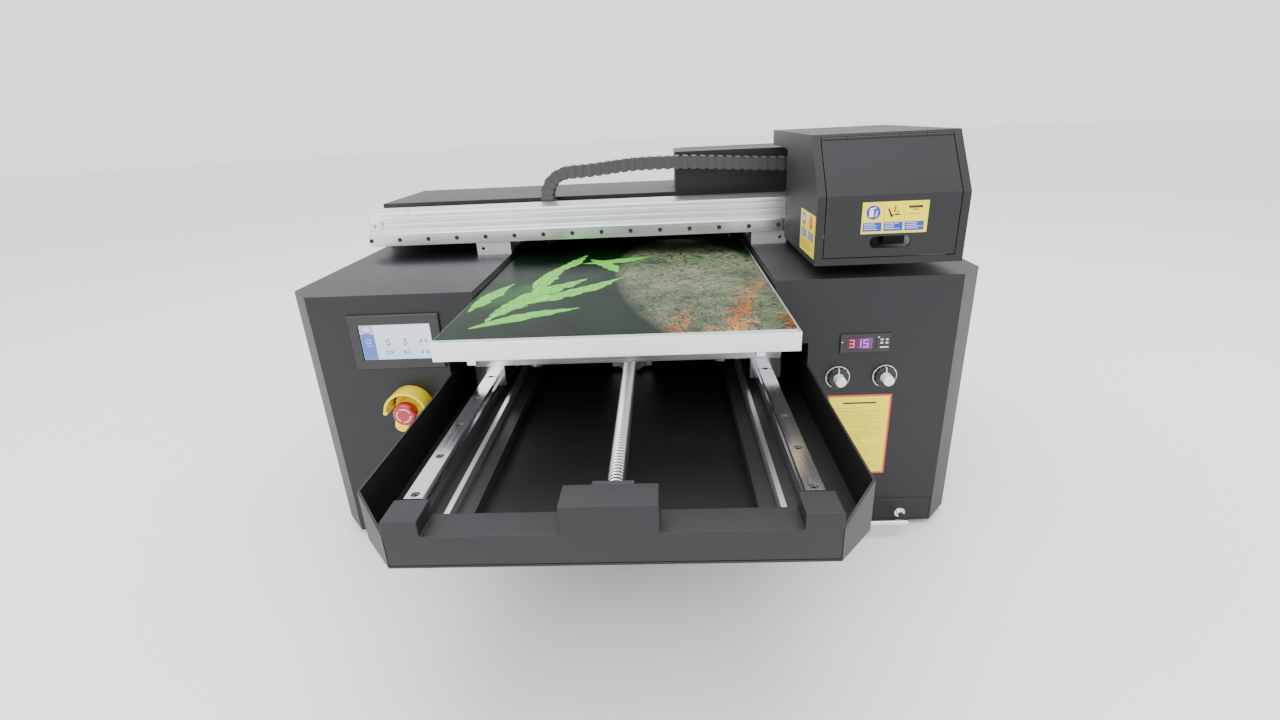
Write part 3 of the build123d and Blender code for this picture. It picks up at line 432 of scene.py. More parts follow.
def addLink(mesh, turned):
    pitch, plate, step, more = chain["pitch"], chain["sidePlate"], chain["step"], chain["overlap"]
    width = lowerHigh.y - lowerLow.y
    half, flap = chainHalf, chainHalf - 1.3 * mm
    for near, far in ((0, plate), (width - plate, width)):
        inner = (near + step, far + step) if near == 0 else (near - step, far - step)
        addBox(mesh, (0, near, -half), (pitch * 0.56, far, half), 0, turned)
        addBox(mesh, (pitch * 0.46, inner[0], -flap), (pitch + more, inner[1], flap), 0, turned)
    for side in (-1, 1):
        low, high = sorted((side * half, side * (half - 1.8 * mm)))
        addBox(mesh, (pitch * 0.04, plate, low), (pitch * 0.62, width - plate, high), 0, turned)
    addBox(mesh, (0, 2 * plate, -half * 0.55), (pitch, width - 2 * plate, half * 0.55), 0, turned)


def linkAt(mesh, start, end):
    along = end - start
    tilt = Matrix.Rotation(-math.atan2(along.z, along.x), 4, "Y")
    addLink(mesh, Matrix.Translation(start) @ tilt)


def smooth(share):
    share = min(max(share, 0), 1)
    return share * share * (3 - 2 * share)


def upperLine(x):
    # the free run rises from the bend and sags towards the hood
    rise = chain["bendDrop"] * (smooth((x - chainBendX) / 0.11) - 1)
    fall = chain["sag"] * smooth((x - 0.05) / (upperHigh.x - 0.05))
    return Vector((x, upperLow.y, upperMid + rise - fall))


def chainRun(name, line, start, end, body=None):
    count = max(1, round(abs(end - start) / chain["pitch"]))
    mesh = bmesh.new()
    places = [line(start + (end - start) * index / count) for index in range(count + 1)]
    for first, second in zip(places, places[1:]):
        linkAt(mesh, first, second)
    return makePiece(name, mesh, [chainPlastic], body)


upperRun = chainRun("chainUpperRun", upperLine, chainBendX, upperHigh.x)
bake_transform(upperRun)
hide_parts("chain_upper")
lowerRun = chainRun(
    "chainLowerRun", lambda x: Vector((x, lowerLow.y, lowerMid)), chainBendX, lowerHigh.x)
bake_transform(lowerRun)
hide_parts("chain_lower")

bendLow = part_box("chain_bend")[0]
bendAcross = chainBendX - bendLow.x - chainHalf
bendTop = upperMid - chain["bendDrop"]


def bendLine(angle):
    middle = (lowerMid + bendTop) / 2
    rise = (bendTop - lowerMid) / 2
    return Vector((chainBendX - bendAcross * math.sin(angle), lowerLow.y, middle - rise * math.cos(angle)))


mesh = bmesh.new()
bendCount = round(math.pi * bendAcross / chain["pitch"])
for index in range(bendCount):
    first, second = (bendLine(math.pi * (index + more) / bendCount) for more in (0, 1))
    along = second - first
    linkTurn = Matrix.Rotation(-math.atan2(along.z, along.x), 4, "Y")
    addLink(mesh, Matrix.Translation(first) @ linkTurn)
makePiece("chainBend", mesh, [chainPlastic], "chain_bend", ["chain_bend"])
print("chain made")


# ball screw with its rolled thread and clamp coupling

screwLow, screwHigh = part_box("ball_screw")
frontSupport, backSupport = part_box("screw_supports")
screw = {
    "lead": 5 * mm, "steps": 20, "journal": 6 * mm, "crest": 8 * mm, "couplingRadius": 12.5 * mm,
    "groove": [(0.0, 0.0), (0.30, 0.0), (0.38, 1.2), (0.64, 1.8), (0.92, 1.2), (1.0, 0.0)],
    "couplingLength": 28 * mm, "shaft": 2.7 * mm,
}
screwAxis = Vector(((screwLow.x + screwHigh.x) / 2, 0, (screwLow.z + screwHigh.z) / 2))
threadStart = frontSupport.y + 20.3 * mm
threadEnd = backSupport.y - 20.3 * mm
mesh = bmesh.new()
turns = int((threadEnd - threadStart) / screw["lead"])
line = [
    mesh.verts.new(screwAxis + Vector((screw["crest"] - deep * mm, threadStart + share * screw["lead"], 0)))
    for share, deep in screw["groove"]]
edges = [mesh.edges.new(pair) for pair in zip(line, line[1:])]
bmesh.ops.spin(mesh, geom=line + edges, cent=screwAxis, axis=(0, 1, 0), angle=2 * math.pi * turns,
               steps=turns * screw["steps"], dvec=(0, screw["lead"] / screw["steps"], 0))
bmesh.ops.remove_doubles(mesh, verts=mesh.verts, dist=2e-6)
bmesh.ops.recalc_face_normals(mesh, faces=mesh.faces)
couplingEnd = screwHigh.y - screw["shaft"]
couplingStart = couplingEnd - screw["couplingLength"]
addRod(mesh, screwAxis + Vector((0, screwLow.y, 0)), screwAxis + Vector((0, couplingStart + 8 * mm, 0)),
       screw["journal"], 32)
reach, rim = screw["couplingLength"], screw["couplingRadius"]
couplingShape = [(0, 0.006), (0, rim - 0.0008), (0.0008, rim)]
for band in (0.30, 0.42, 0.54, 0.66):
    couplingShape += [(reach * band, rim), (reach * band, rim - 0.002),
                      (reach * band + 0.001, rim - 0.002), (reach * band + 0.001, rim)]
couplingShape += [(reach - 0.0008, rim), (reach, rim - 0.0008), (reach, 0.0025),
                  (reach + screw["shaft"], 0.0025), (reach + screw["shaft"], 0)]
addTurned(mesh, couplingShape, screwAxis + Vector((0, couplingStart, 0)), (0, 1, 0), 48)
makePiece("ballScrewThread", mesh, [finishes["screw_steel"]], "ball_screw", ["ball_screw"], 50)
print("ball screw made:", turns, "turns")


# labels, each a thin plate with flat printed shapes on it

labelInks = [
    printed("labelYellow", (0.93, 0.80, 0.004)), printed("labelBlue", (0.015, 0.045, 0.46)),
    printed("labelBlack", (0.02, 0.02, 0.02)), printed("labelRed", (0.70, 0.035, 0.02)),
    printed("labelWhite", (0.82, 0.82, 0.80)), printed("labelOchre", (0.36, 0.29, 0.015)),
    printed("labelOrange", (0.80, 0.20, 0.02)),
]
yellow, blue, black, red, white, ochre, orange = range(7)
inkLift = 0.06 * mm


class Label:
    # a sheet drawn in its own plane, u to the right and v up, then laid on a face
    def __init__(self, corner, across, up, size):
        self.mesh = bmesh.new()
        out = Vector(across).cross(Vector(up))
        turn = Matrix((Vector(across), Vector(up), out)).transposed().to_4x4()
        self.frame = Matrix.Translation(corner) @ turn
        self.layer = 0.25 * mm
        addBox(self.mesh, (0, 0, -0.02 * mm), (size[0], size[1], self.layer), yellow, self.frame)
        self.size = size

    def bar(self, u, v, width, height, ink, lift=1):
        low = (u * mm, v * mm, self.layer)
        high = ((u + width) * mm, (v + height) * mm, self.layer + inkLift * lift)
        addBox(self.mesh, low, high, ink, self.frame)

    def disc(self, u, v, radius, ink, lift=1):
        start = self.frame @ Vector((u * mm, v * mm, self.layer))
        end = self.frame @ Vector((u * mm, v * mm, self.layer + inkLift * lift))
        addRod(self.mesh, start, end, radius * mm, 28, ink)

    def slanted(self, u, v, width, height, degrees, ink, lift=1):
        turn = Matrix.Translation((u * mm, v * mm, 0)) @ Matrix.Rotation(math.radians(degrees), 4, "Z")
        low = (0, 0, self.layer)
        addBox(self.mesh, low, (width * mm, height * mm, self.layer + inkLift * lift), ink, self.frame @ turn)

    def lines(self, u, v, width, pitch, count, height, ink, rng, lift=1):
        for row in range(count):
            self.bar(u, v - row * pitch, width * rng.uniform(0.55, 1.0), height, ink, lift)

    def done(self, name, body):
        return makePiece(name, self.mesh, labelInks, body)


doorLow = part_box("hood_door")[0]
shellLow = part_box("hood_shell")[0]
doorLabel = {"left": 37.5, "bottom": 24.5, "size": (68.5, 33.0), "column": 21.6, "margin": 1.6}
corner = Vector((doorLow.x + doorLabel["left"] * mm, doorLow.y, doorLow.z + doorLabel["bottom"] * mm))
label = Label(corner, (1, 0, 0), (0, 0, 1), [side * mm for side in doorLabel["size"]])
rng = random.Random(3)
for column in range(3):
    u = doorLabel["margin"] + column * (doorLabel["column"] + 0.3)
    label.bar(u, 2.4, 19.6, 9.4, blue)
    label.lines(u + 1.2, 10.2, 17, 1.9, 4, 0.5, white, rng, 2)
    if column:
        label.bar(u - 0.75, 1.4, 0.3, 30, ochre)
firstColumn = doorLabel["margin"] + 10
label.disc(firstColumn, 22.3, 7.4, blue)
label.bar(firstColumn - 4.2, 17.6, 4.6, 7.6, white, 2)
label.slanted(firstColumn - 3.4, 25.0, 6.4, 1.5, 14, white, 2)
label.slanted(firstColumn + 2.0, 18.0, 1.4, 6.4, -12, white, 2)
secondColumn = firstColumn + doorLabel["column"]
label.bar(secondColumn - 0.6, 22.0, 2.4, 6.6, red)
label.slanted(secondColumn - 5.2, 26.2, 2.0, 9.8, 205, black)
label.slanted(secondColumn - 3.6, 18.2, 10.5, 1.2, 4, black)
label.slanted(secondColumn + 2.2, 19.6, 1.0, 4.4, -24, black)
thirdColumn = firstColumn + 2 * doorLabel["column"]
label.bar(thirdColumn - 7, 25.6, 14.5, 2.6, black)
label.bar(thirdColumn - 2.8, 23.6, 6, 1.0, black)
label.bar(thirdColumn - 6, 19.0, 11, 1.0, ochre)
label.done("doorLabel", "hood_door")

sideLabel = {"front": 4.0, "bottom": 6.5, "size": (71.0, 46.0)}
corner = Vector((shellLow.x, shellLow.y + (sideLabel["front"] + sideLabel["size"][0]) * mm,
                 shellLow.z + sideLabel["bottom"] * mm))
label = Label(corner, (0, -1, 0), (0, 0, 1), [side * mm for side in sideLabel["size"]])
for column, ink in enumerate((blue, red)):
    u = 6 + column * 34
    label.disc(u + 11, 36.5, 7.6, ink)
    label.bar(u + 7.5, 33.6, 7, 5.8, white if ink == blue else orange, 2)
    label.bar(u, 16.6, 23, 9.4, blue)
    label.lines(u + 1.5, 24.0, 20, 2.1, 4, 0.6, white, rng, 2)
label.lines(5, 12.6, 60, 2.2, 5, 0.6, black, rng)
label.done("hoodSideLabel", "print_carriage")

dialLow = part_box("dial_plates")[0]
frontY = dialLow.y + 0.8 * mm
cabinetLabel = {"left": 5.2, "drop": 8.3, "size": (73.5, 105.5), "border": 2.4}
width, height = cabinetLabel["size"]
below = (cabinetLabel["drop"] + height) * mm
corner = Vector((dialLow.x + cabinetLabel["left"] * mm, frontY, dialLow.z - below))
label = Label(corner, (1, 0, 0), (0, 0, 1), (width * mm, height * mm))
border = cabinetLabel["border"]
for u, v, across, tall in ((0, 0, width, border), (0, height - border, width, border),
                           (0, border, border, height - 2 * border),
                           (width - border, border, border, height - 2 * border)):
    label.bar(u, v, across, tall, red)
    inset = 0.62 * border
    if across > tall:
        label.bar(u + inset, v + (inset if v == 0 else 0), across - 2 * inset, border - inset, orange, 1.5)
    else:
        label.bar(u + (inset if u == 0 else 0), v, border - inset, tall, orange, 1.5)
label.bar(18, height - 11.5, 38, 2.2, black)
rowHeight = height - 17
for paragraph, rows in enumerate((1, 6, 2, 5, 1, 6, 4)):
    label.lines(6 if paragraph % 2 else 8, rowHeight, 60, 2.9, rows, 0.5, ochre, rng)
    rowHeight -= rows * 2.9 + 1.5
label.done("cabinetLabel", "root")
print("labels made")


# touch screen picture

glassLow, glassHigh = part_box("screen_glass")
screenLook = {"sidebar": 0.20, "icon": 6.2 * mm, "lift": 0.08 * mm}
shader = Shader("screenGlow")
along, across, tall = shader.axes()
fade = shader.soft(tall, glassLow.z, glassHigh.z)
side = shader.soft(along, glassLow.x, glassHigh.x)
tone = shader.blend(fade * 0.6 + side * 0.3, (0.52, 0.84, 1.0), (0.90, 0.88, 1.0))
screenGlow = shader.finish({
    "Base Color": (0.02, 0.02, 0.02), "Roughness": 0.12, "Emission Color": tone, "Emission Strength": 1.7,
    "Coat Weight": 0.3})
screenInks = [
    screenGlow, glowing("screenSidebar", (0.10, 0.22, 0.80), 1.3),
    glowing("screenIcon", (0.010, 0.014, 0.03), 0.5), glowing("screenPale", (0.55, 0.64, 0.95), 1.3),
]
mesh = bmesh.new()
front = glassLow.y
edge = 0.6 * mm
addBox(mesh, (glassLow.x + edge, front - screenLook["lift"], glassLow.z + edge),
       (glassHigh.x - edge, front, glassHigh.z - edge), 0)
wide, high = glassHigh.x - glassLow.x, glassHigh.z - glassLow.z
step = screenLook["lift"]


def screenBox(u0, u1, v0, v1, ink, layer=2):
    addBox(mesh, (glassLow.x + u0 * wide, front - layer * step, glassLow.z + v0 * high),
           (glassLow.x + u1 * wide, front - step, glassLow.z + v1 * high), ink)


def screenArrow(u, v, turnBy, layer=2):
    # an outlined block arrow: a triangle over a short stem
    size = screenLook["icon"]
    middle = Vector((glassLow.x + u * wide, front - layer * step, glassLow.z + v * high))
    turn = Matrix.Translation(middle) @ Matrix.Rotation(math.radians(turnBy), 4, "Y")
    for reach, ink, lift in ((1.0, 2, 0), (0.62, 0, 1)):
        point = bmesh.ops.create_cone(
            mesh, cap_ends=True, segments=3, radius1=size * 0.62 * reach, radius2=size * 0.62 * reach,
            depth=step * (1 + lift) * 0.5,
            matrix=turn @ Matrix.Translation((0, 0, size * 0.22)) @ Matrix.Rotation(math.radians(90), 4, "X")
            @ Matrix.Rotation(math.radians(90), 4, "Z"))
        for face in {face for vert in point["verts"] for face in vert.link_faces}:
            face.material_index = ink
        half = size * 0.22 * reach
        addBox(mesh, (-half, -step * (1 + lift) * 0.25, -size * 0.62 * reach),
               (half, step * (1 + lift) * 0.25, size * 0.05), ink, turn)


screenBox(0.01, screenLook["sidebar"], 0.02, 0.74, 1)
screenBox(0.01, screenLook["sidebar"], 0.76, 0.98, 3)
screenBox(0.07, 0.15, 0.82, 0.93, 0, 3)
screenBox(0.06, 0.15, 0.74, 0.755, 2, 3)
addRod(mesh, (glassLow.x + 0.105 * wide, front - 2 * step, glassLow.z + 0.54 * high),
       (glassLow.x + 0.105 * wide, front - 3 * step, glassLow.z + 0.54 * high), 3.2 * mm, 28, 3)
addRod(mesh, (glassLow.x + 0.105 * wide, front - 3 * step, glassLow.z + 0.54 * high),
       (glassLow.x + 0.105 * wide, front - 3.4 * step, glassLow.z + 0.54 * high), 2.0 * mm, 28, 1)
screenBox(0.065, 0.145, 0.39, 0.415, 3, 3)
for column, row, turnBy in ((0, 1, 0), (1, 1, 180), (0, 0, -90), (1, 0, 90)):
    screenArrow(0.38 + column * 0.245, 0.21 + row * 0.29, turnBy)
for side, lean in ((-1, 24), (1, -24)):
    for row in range(2):
        middle = Vector((glassLow.x + (0.875 + side * 0.035) * wide, front - 1.6 * step,
                         glassLow.z + (0.21 + row * 0.29) * high))
        turn = Matrix.Translation(middle) @ Matrix.Rotation(math.radians(lean), 4, "Y")
        addBox(mesh, (-0.5 * mm, -step * 0.4, -2.2 * mm), (0.5 * mm, step * 0.4, 2.2 * mm), 2, turn)
        foot = 1 if row else -1
        addBox(mesh, (-1.1 * mm, -step * 0.4, foot * 1.4 * mm - 0.5 * mm),
               (1.1 * mm, step * 0.4, foot * 1.4 * mm + 0.5 * mm), 2, turn)
makePiece("screenPicture", mesh, screenInks, "root")
print("screen picture made")


# temperature controller face

thermoLow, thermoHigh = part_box("thermostat")
thermo = {
    "digitHeight": 9.4 * mm, "digitWidth": 5.6 * mm, "stroke": 1.15 * mm,
    "first": 10.5 * mm, "pitch": 7.6 * mm, "reading": "315", "recess": 0.6 * mm,
}
segmentsOf = {"3": "abgcd", "1": "bc", "5": "afgcd"}
redGlow = glowing("digitRed", (1.0, 0.03, 0.16), 2.6)
violetGlow = glowing("digitViolet", (0.75, 0.22, 0.95), 1.6)
shader = Shader("displayWindow")
along, across, tall = shader.axes()
toRight = shader.soft(along, thermoLow.x + 14 * mm, thermoLow.x + 34 * mm)
tint = shader.blend(toRight, (0.10, 0.0, 0.03), (0.30, 0.07, 0.42))
displayWindow = shader.finish({
    "Base Color": (0.01, 0.0, 0.01), "Roughness": 0.15, "Emission Color": tint, "Emission Strength": 0.8})
mesh = bmesh.new()
faceY = thermoLow.y + thermo["recess"]
midZ = (thermoLow.z + thermoHigh.z) / 2
addBox(mesh, (thermoLow.x + 7.5 * mm, faceY - 0.4 * mm, midZ - 6.6 * mm),
       (thermoLow.x + 36 * mm, faceY + 0.1 * mm, midZ + 6.6 * mm), 0)
tallHalf, wideDigit, stroke = thermo["digitHeight"] / 2, thermo["digitWidth"], thermo["stroke"]
bars = {
    "a": (0, tallHalf - stroke, wideDigit, tallHalf), "g": (0, -stroke / 2, wideDigit, stroke / 2),
    "d": (0, -tallHalf, wideDigit, -tallHalf + stroke), "f": (0, 0, stroke, tallHalf),
    "b": (wideDigit - stroke, 0, wideDigit, tallHalf), "c": (wideDigit - stroke, -tallHalf, wideDigit, 0),
}
for place, digit in enumerate(thermo["reading"]):
    left = thermoLow.x + thermo["first"] + place * thermo["pitch"]
    for name in segmentsOf[digit]:
        x0, z0, x1, z1 = bars[name]
        addBox(mesh, (left + x0, faceY - 0.6 * mm, midZ + z0), (left + x1, faceY - 0.4 * mm, midZ + z1),
               1 if place == 0 else 2)
keyX = thermoHigh.x - 11.5 * mm
keyFace = thermoLow.y
for row, tall in enumerate((4.2, 0.2)):
    for column in range(2):
        x = keyX + column * 5.6 * mm
        z = midZ + tall * mm
        addBox(mesh, (x, keyFace - 0.15 * mm, z - 0.9 * mm), (x + 3.0 * mm, keyFace, z + 0.9 * mm), 3)
addBox(mesh, (keyX, keyFace - 0.15 * mm, midZ - 5.6 * mm), (keyX + 9.4 * mm, keyFace, midZ - 4.2 * mm), 3)
addBox(mesh, (thermoLow.x + 1.4 * mm, keyFace - 0.15 * mm, midZ + 1.6 * mm),
       (thermoLow.x + 3.6 * mm, keyFace, midZ + 2.4 * mm), 3)
addBox(mesh, (keyX - 3.2 * mm, keyFace - 0.15 * mm, midZ + 6.4 * mm),
       (keyX - 1.2 * mm, keyFace, midZ + 7.6 * mm), 3)
keyWhite = printed("keyWhite", (0.78, 0.78, 0.8))
makePiece("controllerFace", mesh, [displayWindow, redGlow, violetGlow, keyWhite], "root")


# speed dials with a printed scale, a black skirt with a white pointer and a white cap

dial = {"ring": 13.6 * mm, "ringWidth": 0.75 * mm, "tick": 1.9 * mm, "start": -60, "sweep": 300, "ticks": 11}
dialPaint = printed("dialPaint", (0.80, 0.80, 0.82))
for knobName in ("knob_left", "knob_right"):
    knobLow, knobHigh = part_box(knobName)
    centre = (knobLow + knobHigh) / 2
    face = dialLow.y
    mesh = bmesh.new()
    addArc(mesh, (centre.x, face - 0.12 * mm, centre.z), dial["ring"] - dial["ringWidth"], dial["ring"],
           dial["start"], dial["sweep"], 0.12 * mm, 60)
    for index in range(dial["ticks"]):
        angle = math.radians(dial["start"] + dial["sweep"] * index / (dial["ticks"] - 1))
        turn = Matrix.Translation((centre.x, face, centre.z)) @ Matrix.Rotation(-angle, 4, "Y")
        reach = dial["ring"] - dial["ringWidth"]
        addBox(mesh, (reach - dial["tick"] * (1 if index % 5 == 0 else 0.6), -0.12 * mm, -0.25 * mm),
               (reach, 0, 0.25 * mm), 0, turn)
    makePiece(knobName.replace("knob_", "") + "DialScale", mesh, [dialPaint], "root")
    shader = Shader(knobName.replace("knob_", "") + "KnobPlastic")
    x, y, z = shader.axes()
    fromX, fromZ = x - centre.x, z - centre.z
    spread = (fromX * fromX + fromZ * fromZ).root()
    cap = 1 - shader.soft(spread, 6.0 * mm, 6.2 * mm)
    pointer = (abs(fromX) < 0.55 * mm) * (fromZ > 0)
    grain = shader.noise(shader.place, 1200, 2)
    colour = shader.blend(cap.most(pointer), (0.012, 0.012, 0.013), (0.84, 0.84, 0.83))
    material = shader.finish({"Base Color": colour, "Roughness": 0.34 + grain * 0.08}, grain, 0.05, 0.0002)
    nodes[knobName].data.materials[0] = material


# stop button, its yellow shroud and the moulded marks on its head

shroud = {
    "radius": 25.5 * mm, "wall": 3.2 * mm, "depth": 25 * mm, "start": 4, "sweep": 172, "bead": 2.6 * mm,
    "plate": 20 * mm, "plateThick": 4 * mm, "lobe": 8.5 * mm, "lobeAt": (12.5 * mm, -21 * mm),
    "lobeThick": 13 * mm, "collar": 15.5 * mm, "collarTip": 11 * mm, "collarReach": 12 * mm,
}
middle = (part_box("estop_head")[0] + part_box("estop_head")[1]) / 2
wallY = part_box("estop_guard")[1].y
mesh = bmesh.new()
outer, inner = shroud["radius"], shroud["radius"] - shroud["wall"]
addArc(mesh, (middle.x, wallY - shroud["depth"], middle.z), inner, outer, shroud["start"], shroud["sweep"],
       shroud["depth"], 40)
for end in (shroud["start"], shroud["start"] + shroud["sweep"]):
    angle = math.radians(end)
    x = middle.x + math.cos(angle) * (outer + inner) / 2
    z = middle.z + math.sin(angle) * (outer + inner) / 2 - 0.8 * mm
    addRod(mesh, (x, wallY, z), (x, wallY - shroud["depth"], z), shroud["bead"], 20)
addRod(mesh, (middle.x, wallY, middle.z), (middle.x, wallY - shroud["plateThick"], middle.z),
       shroud["plate"], 48)
addRod(mesh, (middle.x, wallY - shroud["plateThick"], middle.z),
       (middle.x, wallY - shroud["collarReach"], middle.z), shroud["collar"], 40, 0, shroud["collarTip"])
for side in (-1, 1):
    x, z = middle.x + side * shroud["lobeAt"][0], middle.z + shroud["lobeAt"][1]
    addRod(mesh, (x, wallY, z), (x, wallY - shroud["lobeThick"], z), shroud["lobe"], 32)
    addBox(mesh, (x - shroud["lobe"], wallY - shroud["lobeThick"] * 0.8, z),
           (x + shroud["lobe"], wallY, middle.z - 6 * mm))
softenEdges(mesh, 1.0 * mm, 3, 50)
makePiece("stopShroud", mesh, [finishes["yellow_plastic"]], "root", ["estop_guard"])

headLow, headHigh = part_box("estop_head")
stop = {"ring": 8.6 * mm, "width": 1.3 * mm, "arcs": 3, "sweep": 84, "head": 2.6 * mm}
centre = (headLow + headHigh) / 2
mesh = bmesh.new()
for index in range(stop["arcs"]):
    start = 20 + index * 360 / stop["arcs"]
    addArc(mesh, (centre.x, headLow.y - 0.12 * mm, centre.z), stop["ring"] - stop["width"], stop["ring"],
           start, stop["sweep"], 0.14 * mm, 16)
    angle = math.radians(start + stop["sweep"])
    turn = Matrix.Translation((centre.x, headLow.y, centre.z)) @ Matrix.Rotation(-angle, 4, "Y")
    middle = stop["ring"] - stop["width"] / 2
    bmesh.ops.create_cone(
        mesh, cap_ends=True, segments=3, radius1=stop["head"] * 0.62, radius2=stop["head"] * 0.62,
        depth=0.24 * mm, matrix=turn @ Matrix.Translation((middle, 0, 0.9 * mm))
        @ Matrix.Rotation(math.radians(90), 4, "X") @ Matrix.Rotation(math.radians(90), 4, "Z"))
makePiece("stopArrows", mesh, [printed("arrowPink", (0.90, 0.52, 0.58), 0.25)], "estop_head")
print("controls made")


# a near-black matte sheet just inside the rear vents: painted shade, so the back wall and its vent holes read
# dark
sheet = {"inset": 60 * mm, "back": 0.2 * mm, "front": 1.5 * mm, "foot": 1.5 * mm, "top": 4 * mm}
panelLow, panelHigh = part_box("rear_panel")
mesh = bmesh.new()
addBox(mesh, (trayLow.x + sheet["inset"], panelLow.y - sheet["front"], trayHigh.z + sheet["foot"]),
       (trayHigh.x - sheet["inset"], panelLow.y - sheet["back"], panelHigh.z - sheet["top"]))
# the near-black colour of this sheet is painted shade for the dark inside of the back wall
filterMesh = moulded("filterMesh", (0.006, 0.006, 0.007), 0.8, 900, 0.3)
makePiece("dustScreen", mesh, [filterMesh], "root")
print("vent shade sheet made")


# the print on the board, a made-up leaf and seed-pod picture

boardLow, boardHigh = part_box("sample_board")
art = {
    "leaves": [  # base x, base y as shares of the board, direction, length and width in mm, curl
        (0.10, 0.10, 62, 190, 17, 0.30), (0.13, 0.22, 44, 165, 13, -0.22), (0.20, 0.30, 82, 170, 12, 0.22),
        (0.30, 0.66, 18, 100, 12, -0.30), (0.06, 0.06, 30, 120, 12, 0.2), (0.33, 0.72, -62, 95, 11, 0.25),
        (0.18, 0.52, 70, 130, 9, -0.18), (0.02, 0.18, 78, 120, 10, 0.1),
    ],
    "pod": (0.76, 0.44, 0.30, 0.56),
}
shader = Shader("boardPrint")
x, y, z = shader.axes()
boardWide, boardLong = boardHigh.x - boardLow.x, boardHigh.y - boardLow.y
glow = shader.noise(shader.stretched((9, 5, 9)), 1, 3, 0.55)
background = shader.ramp(glow, [(0.34, (0.001, 0.004, 0.0015)), (0.60, (0.003, 0.018, 0.004)),
                                (0.80, (0.02, 0.14, 0.010))])
wobble = shader.noise(shader.place, 60, 2) - 0.5
leafMask = None
leafTone = None
for baseX, baseY, degrees, length, width, curl in art["leaves"]:
    spot = (boardLow.x + baseX * boardWide, boardLow.y + baseY * boardLong)
    turn = math.radians(degrees)
    alongLeaf = ((x - spot[0]) * math.cos(turn) + (y - spot[1]) * math.sin(turn)) / (length * mm)
    acrossLeaf = ((y - spot[1]) * math.cos(turn) - (x - spot[0]) * math.sin(turn)) / (length * mm)
    inside = alongLeaf.most(0).least(1)
    bow = inside * (1 - inside)
    teeth = (inside * (length * 0.42)).sine() * 0.004
    offset = abs(acrossLeaf - bow * curl + wobble * 0.03) + teeth
    half = (inside * math.pi).sine() * (width / length) * (1 + wobble * 1.2)
    mask = shader.soft(half - offset, 0.0, 0.012)
    vein = 1 - shader.soft(offset, 0.0, 0.012)
    tone = (vein * 0.5 + offset / (width / length) * 0.5) * mask
    leafMask = mask if leafMask is None else leafMask.most(mask)
    leafTone = tone if leafTone is None else leafTone.most(tone)
leafColour = shader.ramp(leafTone, [
    (0.0, (0.05, 0.34, 0.03)), (0.45, (0.16, 0.52, 0.06)), (0.9, (0.55, 0.78, 0.34))])
podX, podY, podWide, podLong = art["pod"]
u = (x - (boardLow.x + podX * boardWide)) / (podWide * boardWide)
v = (y - (boardLow.y + podY * boardLong)) / (podLong * boardLong)
swell = u * u + v * v + u * v * 0.55 + wobble * 0.12
podMask = 1 - shader.soft(swell, 0.90, 1.0)
swirl = shader.node("ShaderNodeTexNoise", None, {
    "Vector": shader.place, "Scale": 22.0, "Detail": 2.0}, output=1)
bent = shader.node("ShaderNodeVectorMath", {"operation": "MULTIPLY_ADD"}, {
    0: swirl, 1: (0.018, 0.018, 0.0), 2: shader.place})
coarse = shader.soft(v, -0.5, 0.6)
bigEdge, smallEdge = (shader.cells(bent, scale, "DISTANCE_TO_EDGE") for scale in (62, 150))
bigCell, smallCell = (shader.cells(bent, scale) for scale in (62, 150))
edgeNear = bigEdge * coarse + smallEdge * (1 - coarse)
cellTone = bigCell * coarse + smallCell * (1 - coarse)
mottle = shader.noise(shader.place, 17, 5, 0.62)
podColour = shader.ramp(mottle, [
    (0.34, (0.010, 0.022, 0.010)), (0.50, (0.07, 0.11, 0.05)), (0.68, (0.19, 0.19, 0.12))])
podColour = shader.blend(shader.soft(cellTone, 0.15, 0.85) * 0.45, podColour, (0.22, 0.24, 0.16))
bands = (u * 11 - v * 7 + wobble * 9).sine()
rust = shader.soft(bands, -0.1, 0.9) * shader.soft(u * 0.5 - v, 0.28, 0.80)
rustColour = shader.ramp(mottle, [(0.3, (0.16, 0.035, 0.008)), (0.7, (0.66, 0.22, 0.06))])
podColour = shader.blend(rust, podColour, rustColour)
podColour = shader.blend((1 - shader.soft(edgeNear, 0.0, 0.14)) * 0.85, podColour, (0.004, 0.010, 0.004))
rim = shader.soft(swell, 0.62, 0.95) * 0.75
podColour = shader.blend(rim, podColour, (0.006, 0.016, 0.005))
picture = shader.blend(podMask, background, podColour)
picture = shader.blend(leafMask, picture, leafColour)
topOnly = z > boardHigh.z - 0.4 * mm
picture = shader.blend(topOnly, (0.62, 0.63, 0.58), picture)
boardPrint = shader.finish({
    "Base Color": picture, "Roughness": 0.30 + mottle * 0.10, "Specular IOR Level": 0.05,
}, mottle, 0.03, 0.0002)
nodes["sample_board"].data.materials[0] = boardPrint
print("board print made")


# camera, lights and floor

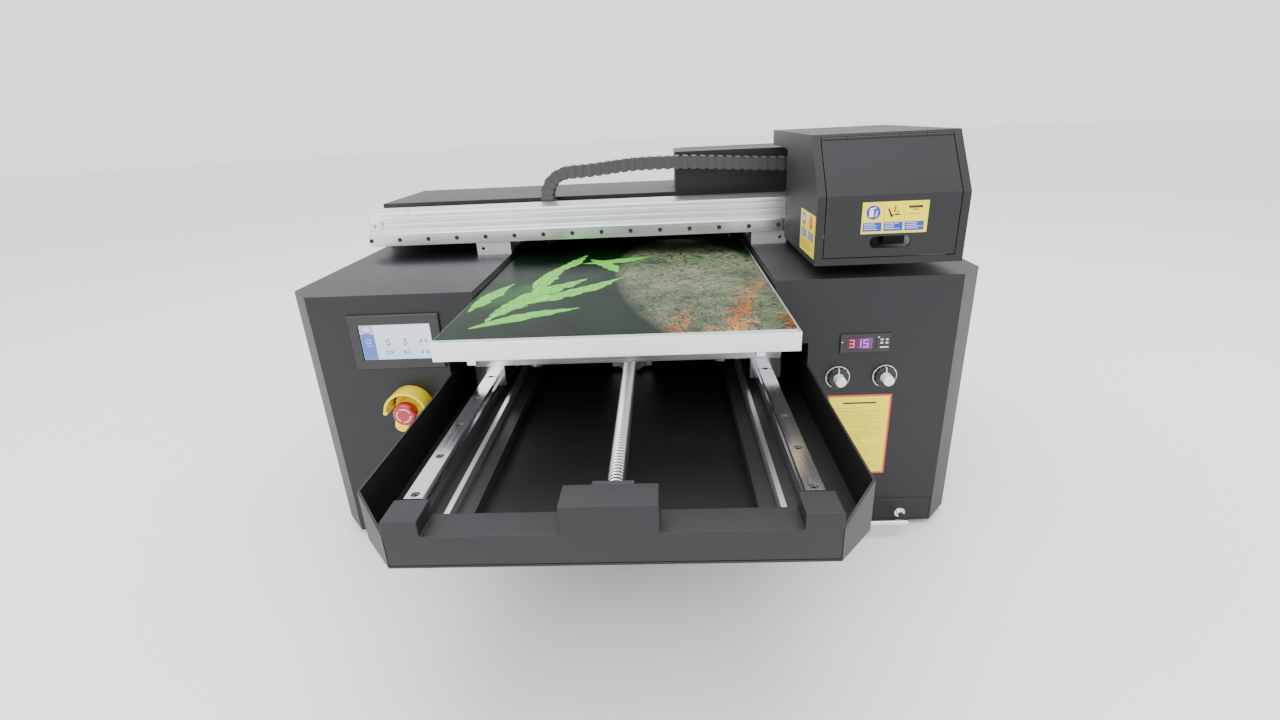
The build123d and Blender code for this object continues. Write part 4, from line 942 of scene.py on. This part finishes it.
view = {"place": (0.0418, -0.7655, 0.4925), "yaw": 2.71, "pitch": -21.49, "roll": -2.76, "lens": 17.45}
yaw, pitch, roll = (math.radians(view[key]) for key in ("yaw", "pitch", "roll"))
forward = Vector((-math.sin(yaw) * math.cos(pitch), math.cos(yaw) * math.cos(pitch), math.sin(pitch)))
right = Vector((math.cos(yaw), math.sin(yaw), 0))
up = right.cross(forward)
tiltedRight = right * math.cos(roll) + up * math.sin(roll)
tiltedUp = up * math.cos(roll) - right * math.sin(roll)
cameraData = bpy.data.cameras.new("viewCamera")
cameraData.lens = view["lens"]
cameraData.sensor_width = 36
cameraData.clip_start = 0.02
camera = bpy.data.objects.new("viewCamera", cameraData)
bpy.context.scene.collection.objects.link(camera)
camera.matrix_world = Matrix.Translation(view["place"]) @ Matrix(
    (tiltedRight, tiltedUp, -forward)).transposed().to_4x4()
bpy.context.scene.camera = camera


def areaLight(name, place, aim, size, power, colour=(1, 1, 1)):
    lamp = bpy.data.lights.new(name, "AREA")
    lamp.shape = "RECTANGLE"
    lamp.size, lamp.size_y = size
    lamp.energy = power
    lamp.color = colour
    holder = bpy.data.objects.new(name, lamp)
    bpy.context.scene.collection.objects.link(holder)
    holder.location = place
    holder.rotation_euler = (Vector(aim) - Vector(place)).to_track_quat("-Z", "Y").to_euler()


areaLight("overheadLight", (0.0, 0.4, 2.3), (0, 0, 0.3), (2.6, 2.2), 46)
areaLight("frontLight", (-0.9, -2.0, 1.7), (0, -0.1, 0.25), (1.8, 1.4), 34)
areaLight("sideLight", (2.2, -0.4, 1.2), (0, 0, 0.3), (1.4, 1.6), 9, (1.0, 0.97, 0.93))
world = bpy.data.worlds.new("studio")
bpy.context.scene.world = world
world.use_nodes = True
world.node_tree.nodes["Background"].inputs[0].default_value = (0.96, 0.97, 1.0, 1)
world.node_tree.nodes["Background"].inputs[1].default_value = 1.75

mesh = bmesh.new()
bmesh.ops.create_circle(
    mesh, cap_ends=True, segments=64, radius=14, matrix=Matrix.Translation((0, 0, -0.0005)))
shader = Shader("paleFloor")
cloud = shader.noise(shader.place, 3, 2)
floorPaint = shader.finish({
    "Base Color": shader.blend(cloud, (0.90, 0.90, 0.90), (0.93, 0.93, 0.93)), "Roughness": 0.6})
floor = makePiece("studioFloor", mesh, [floorPaint])
print("studio ready")
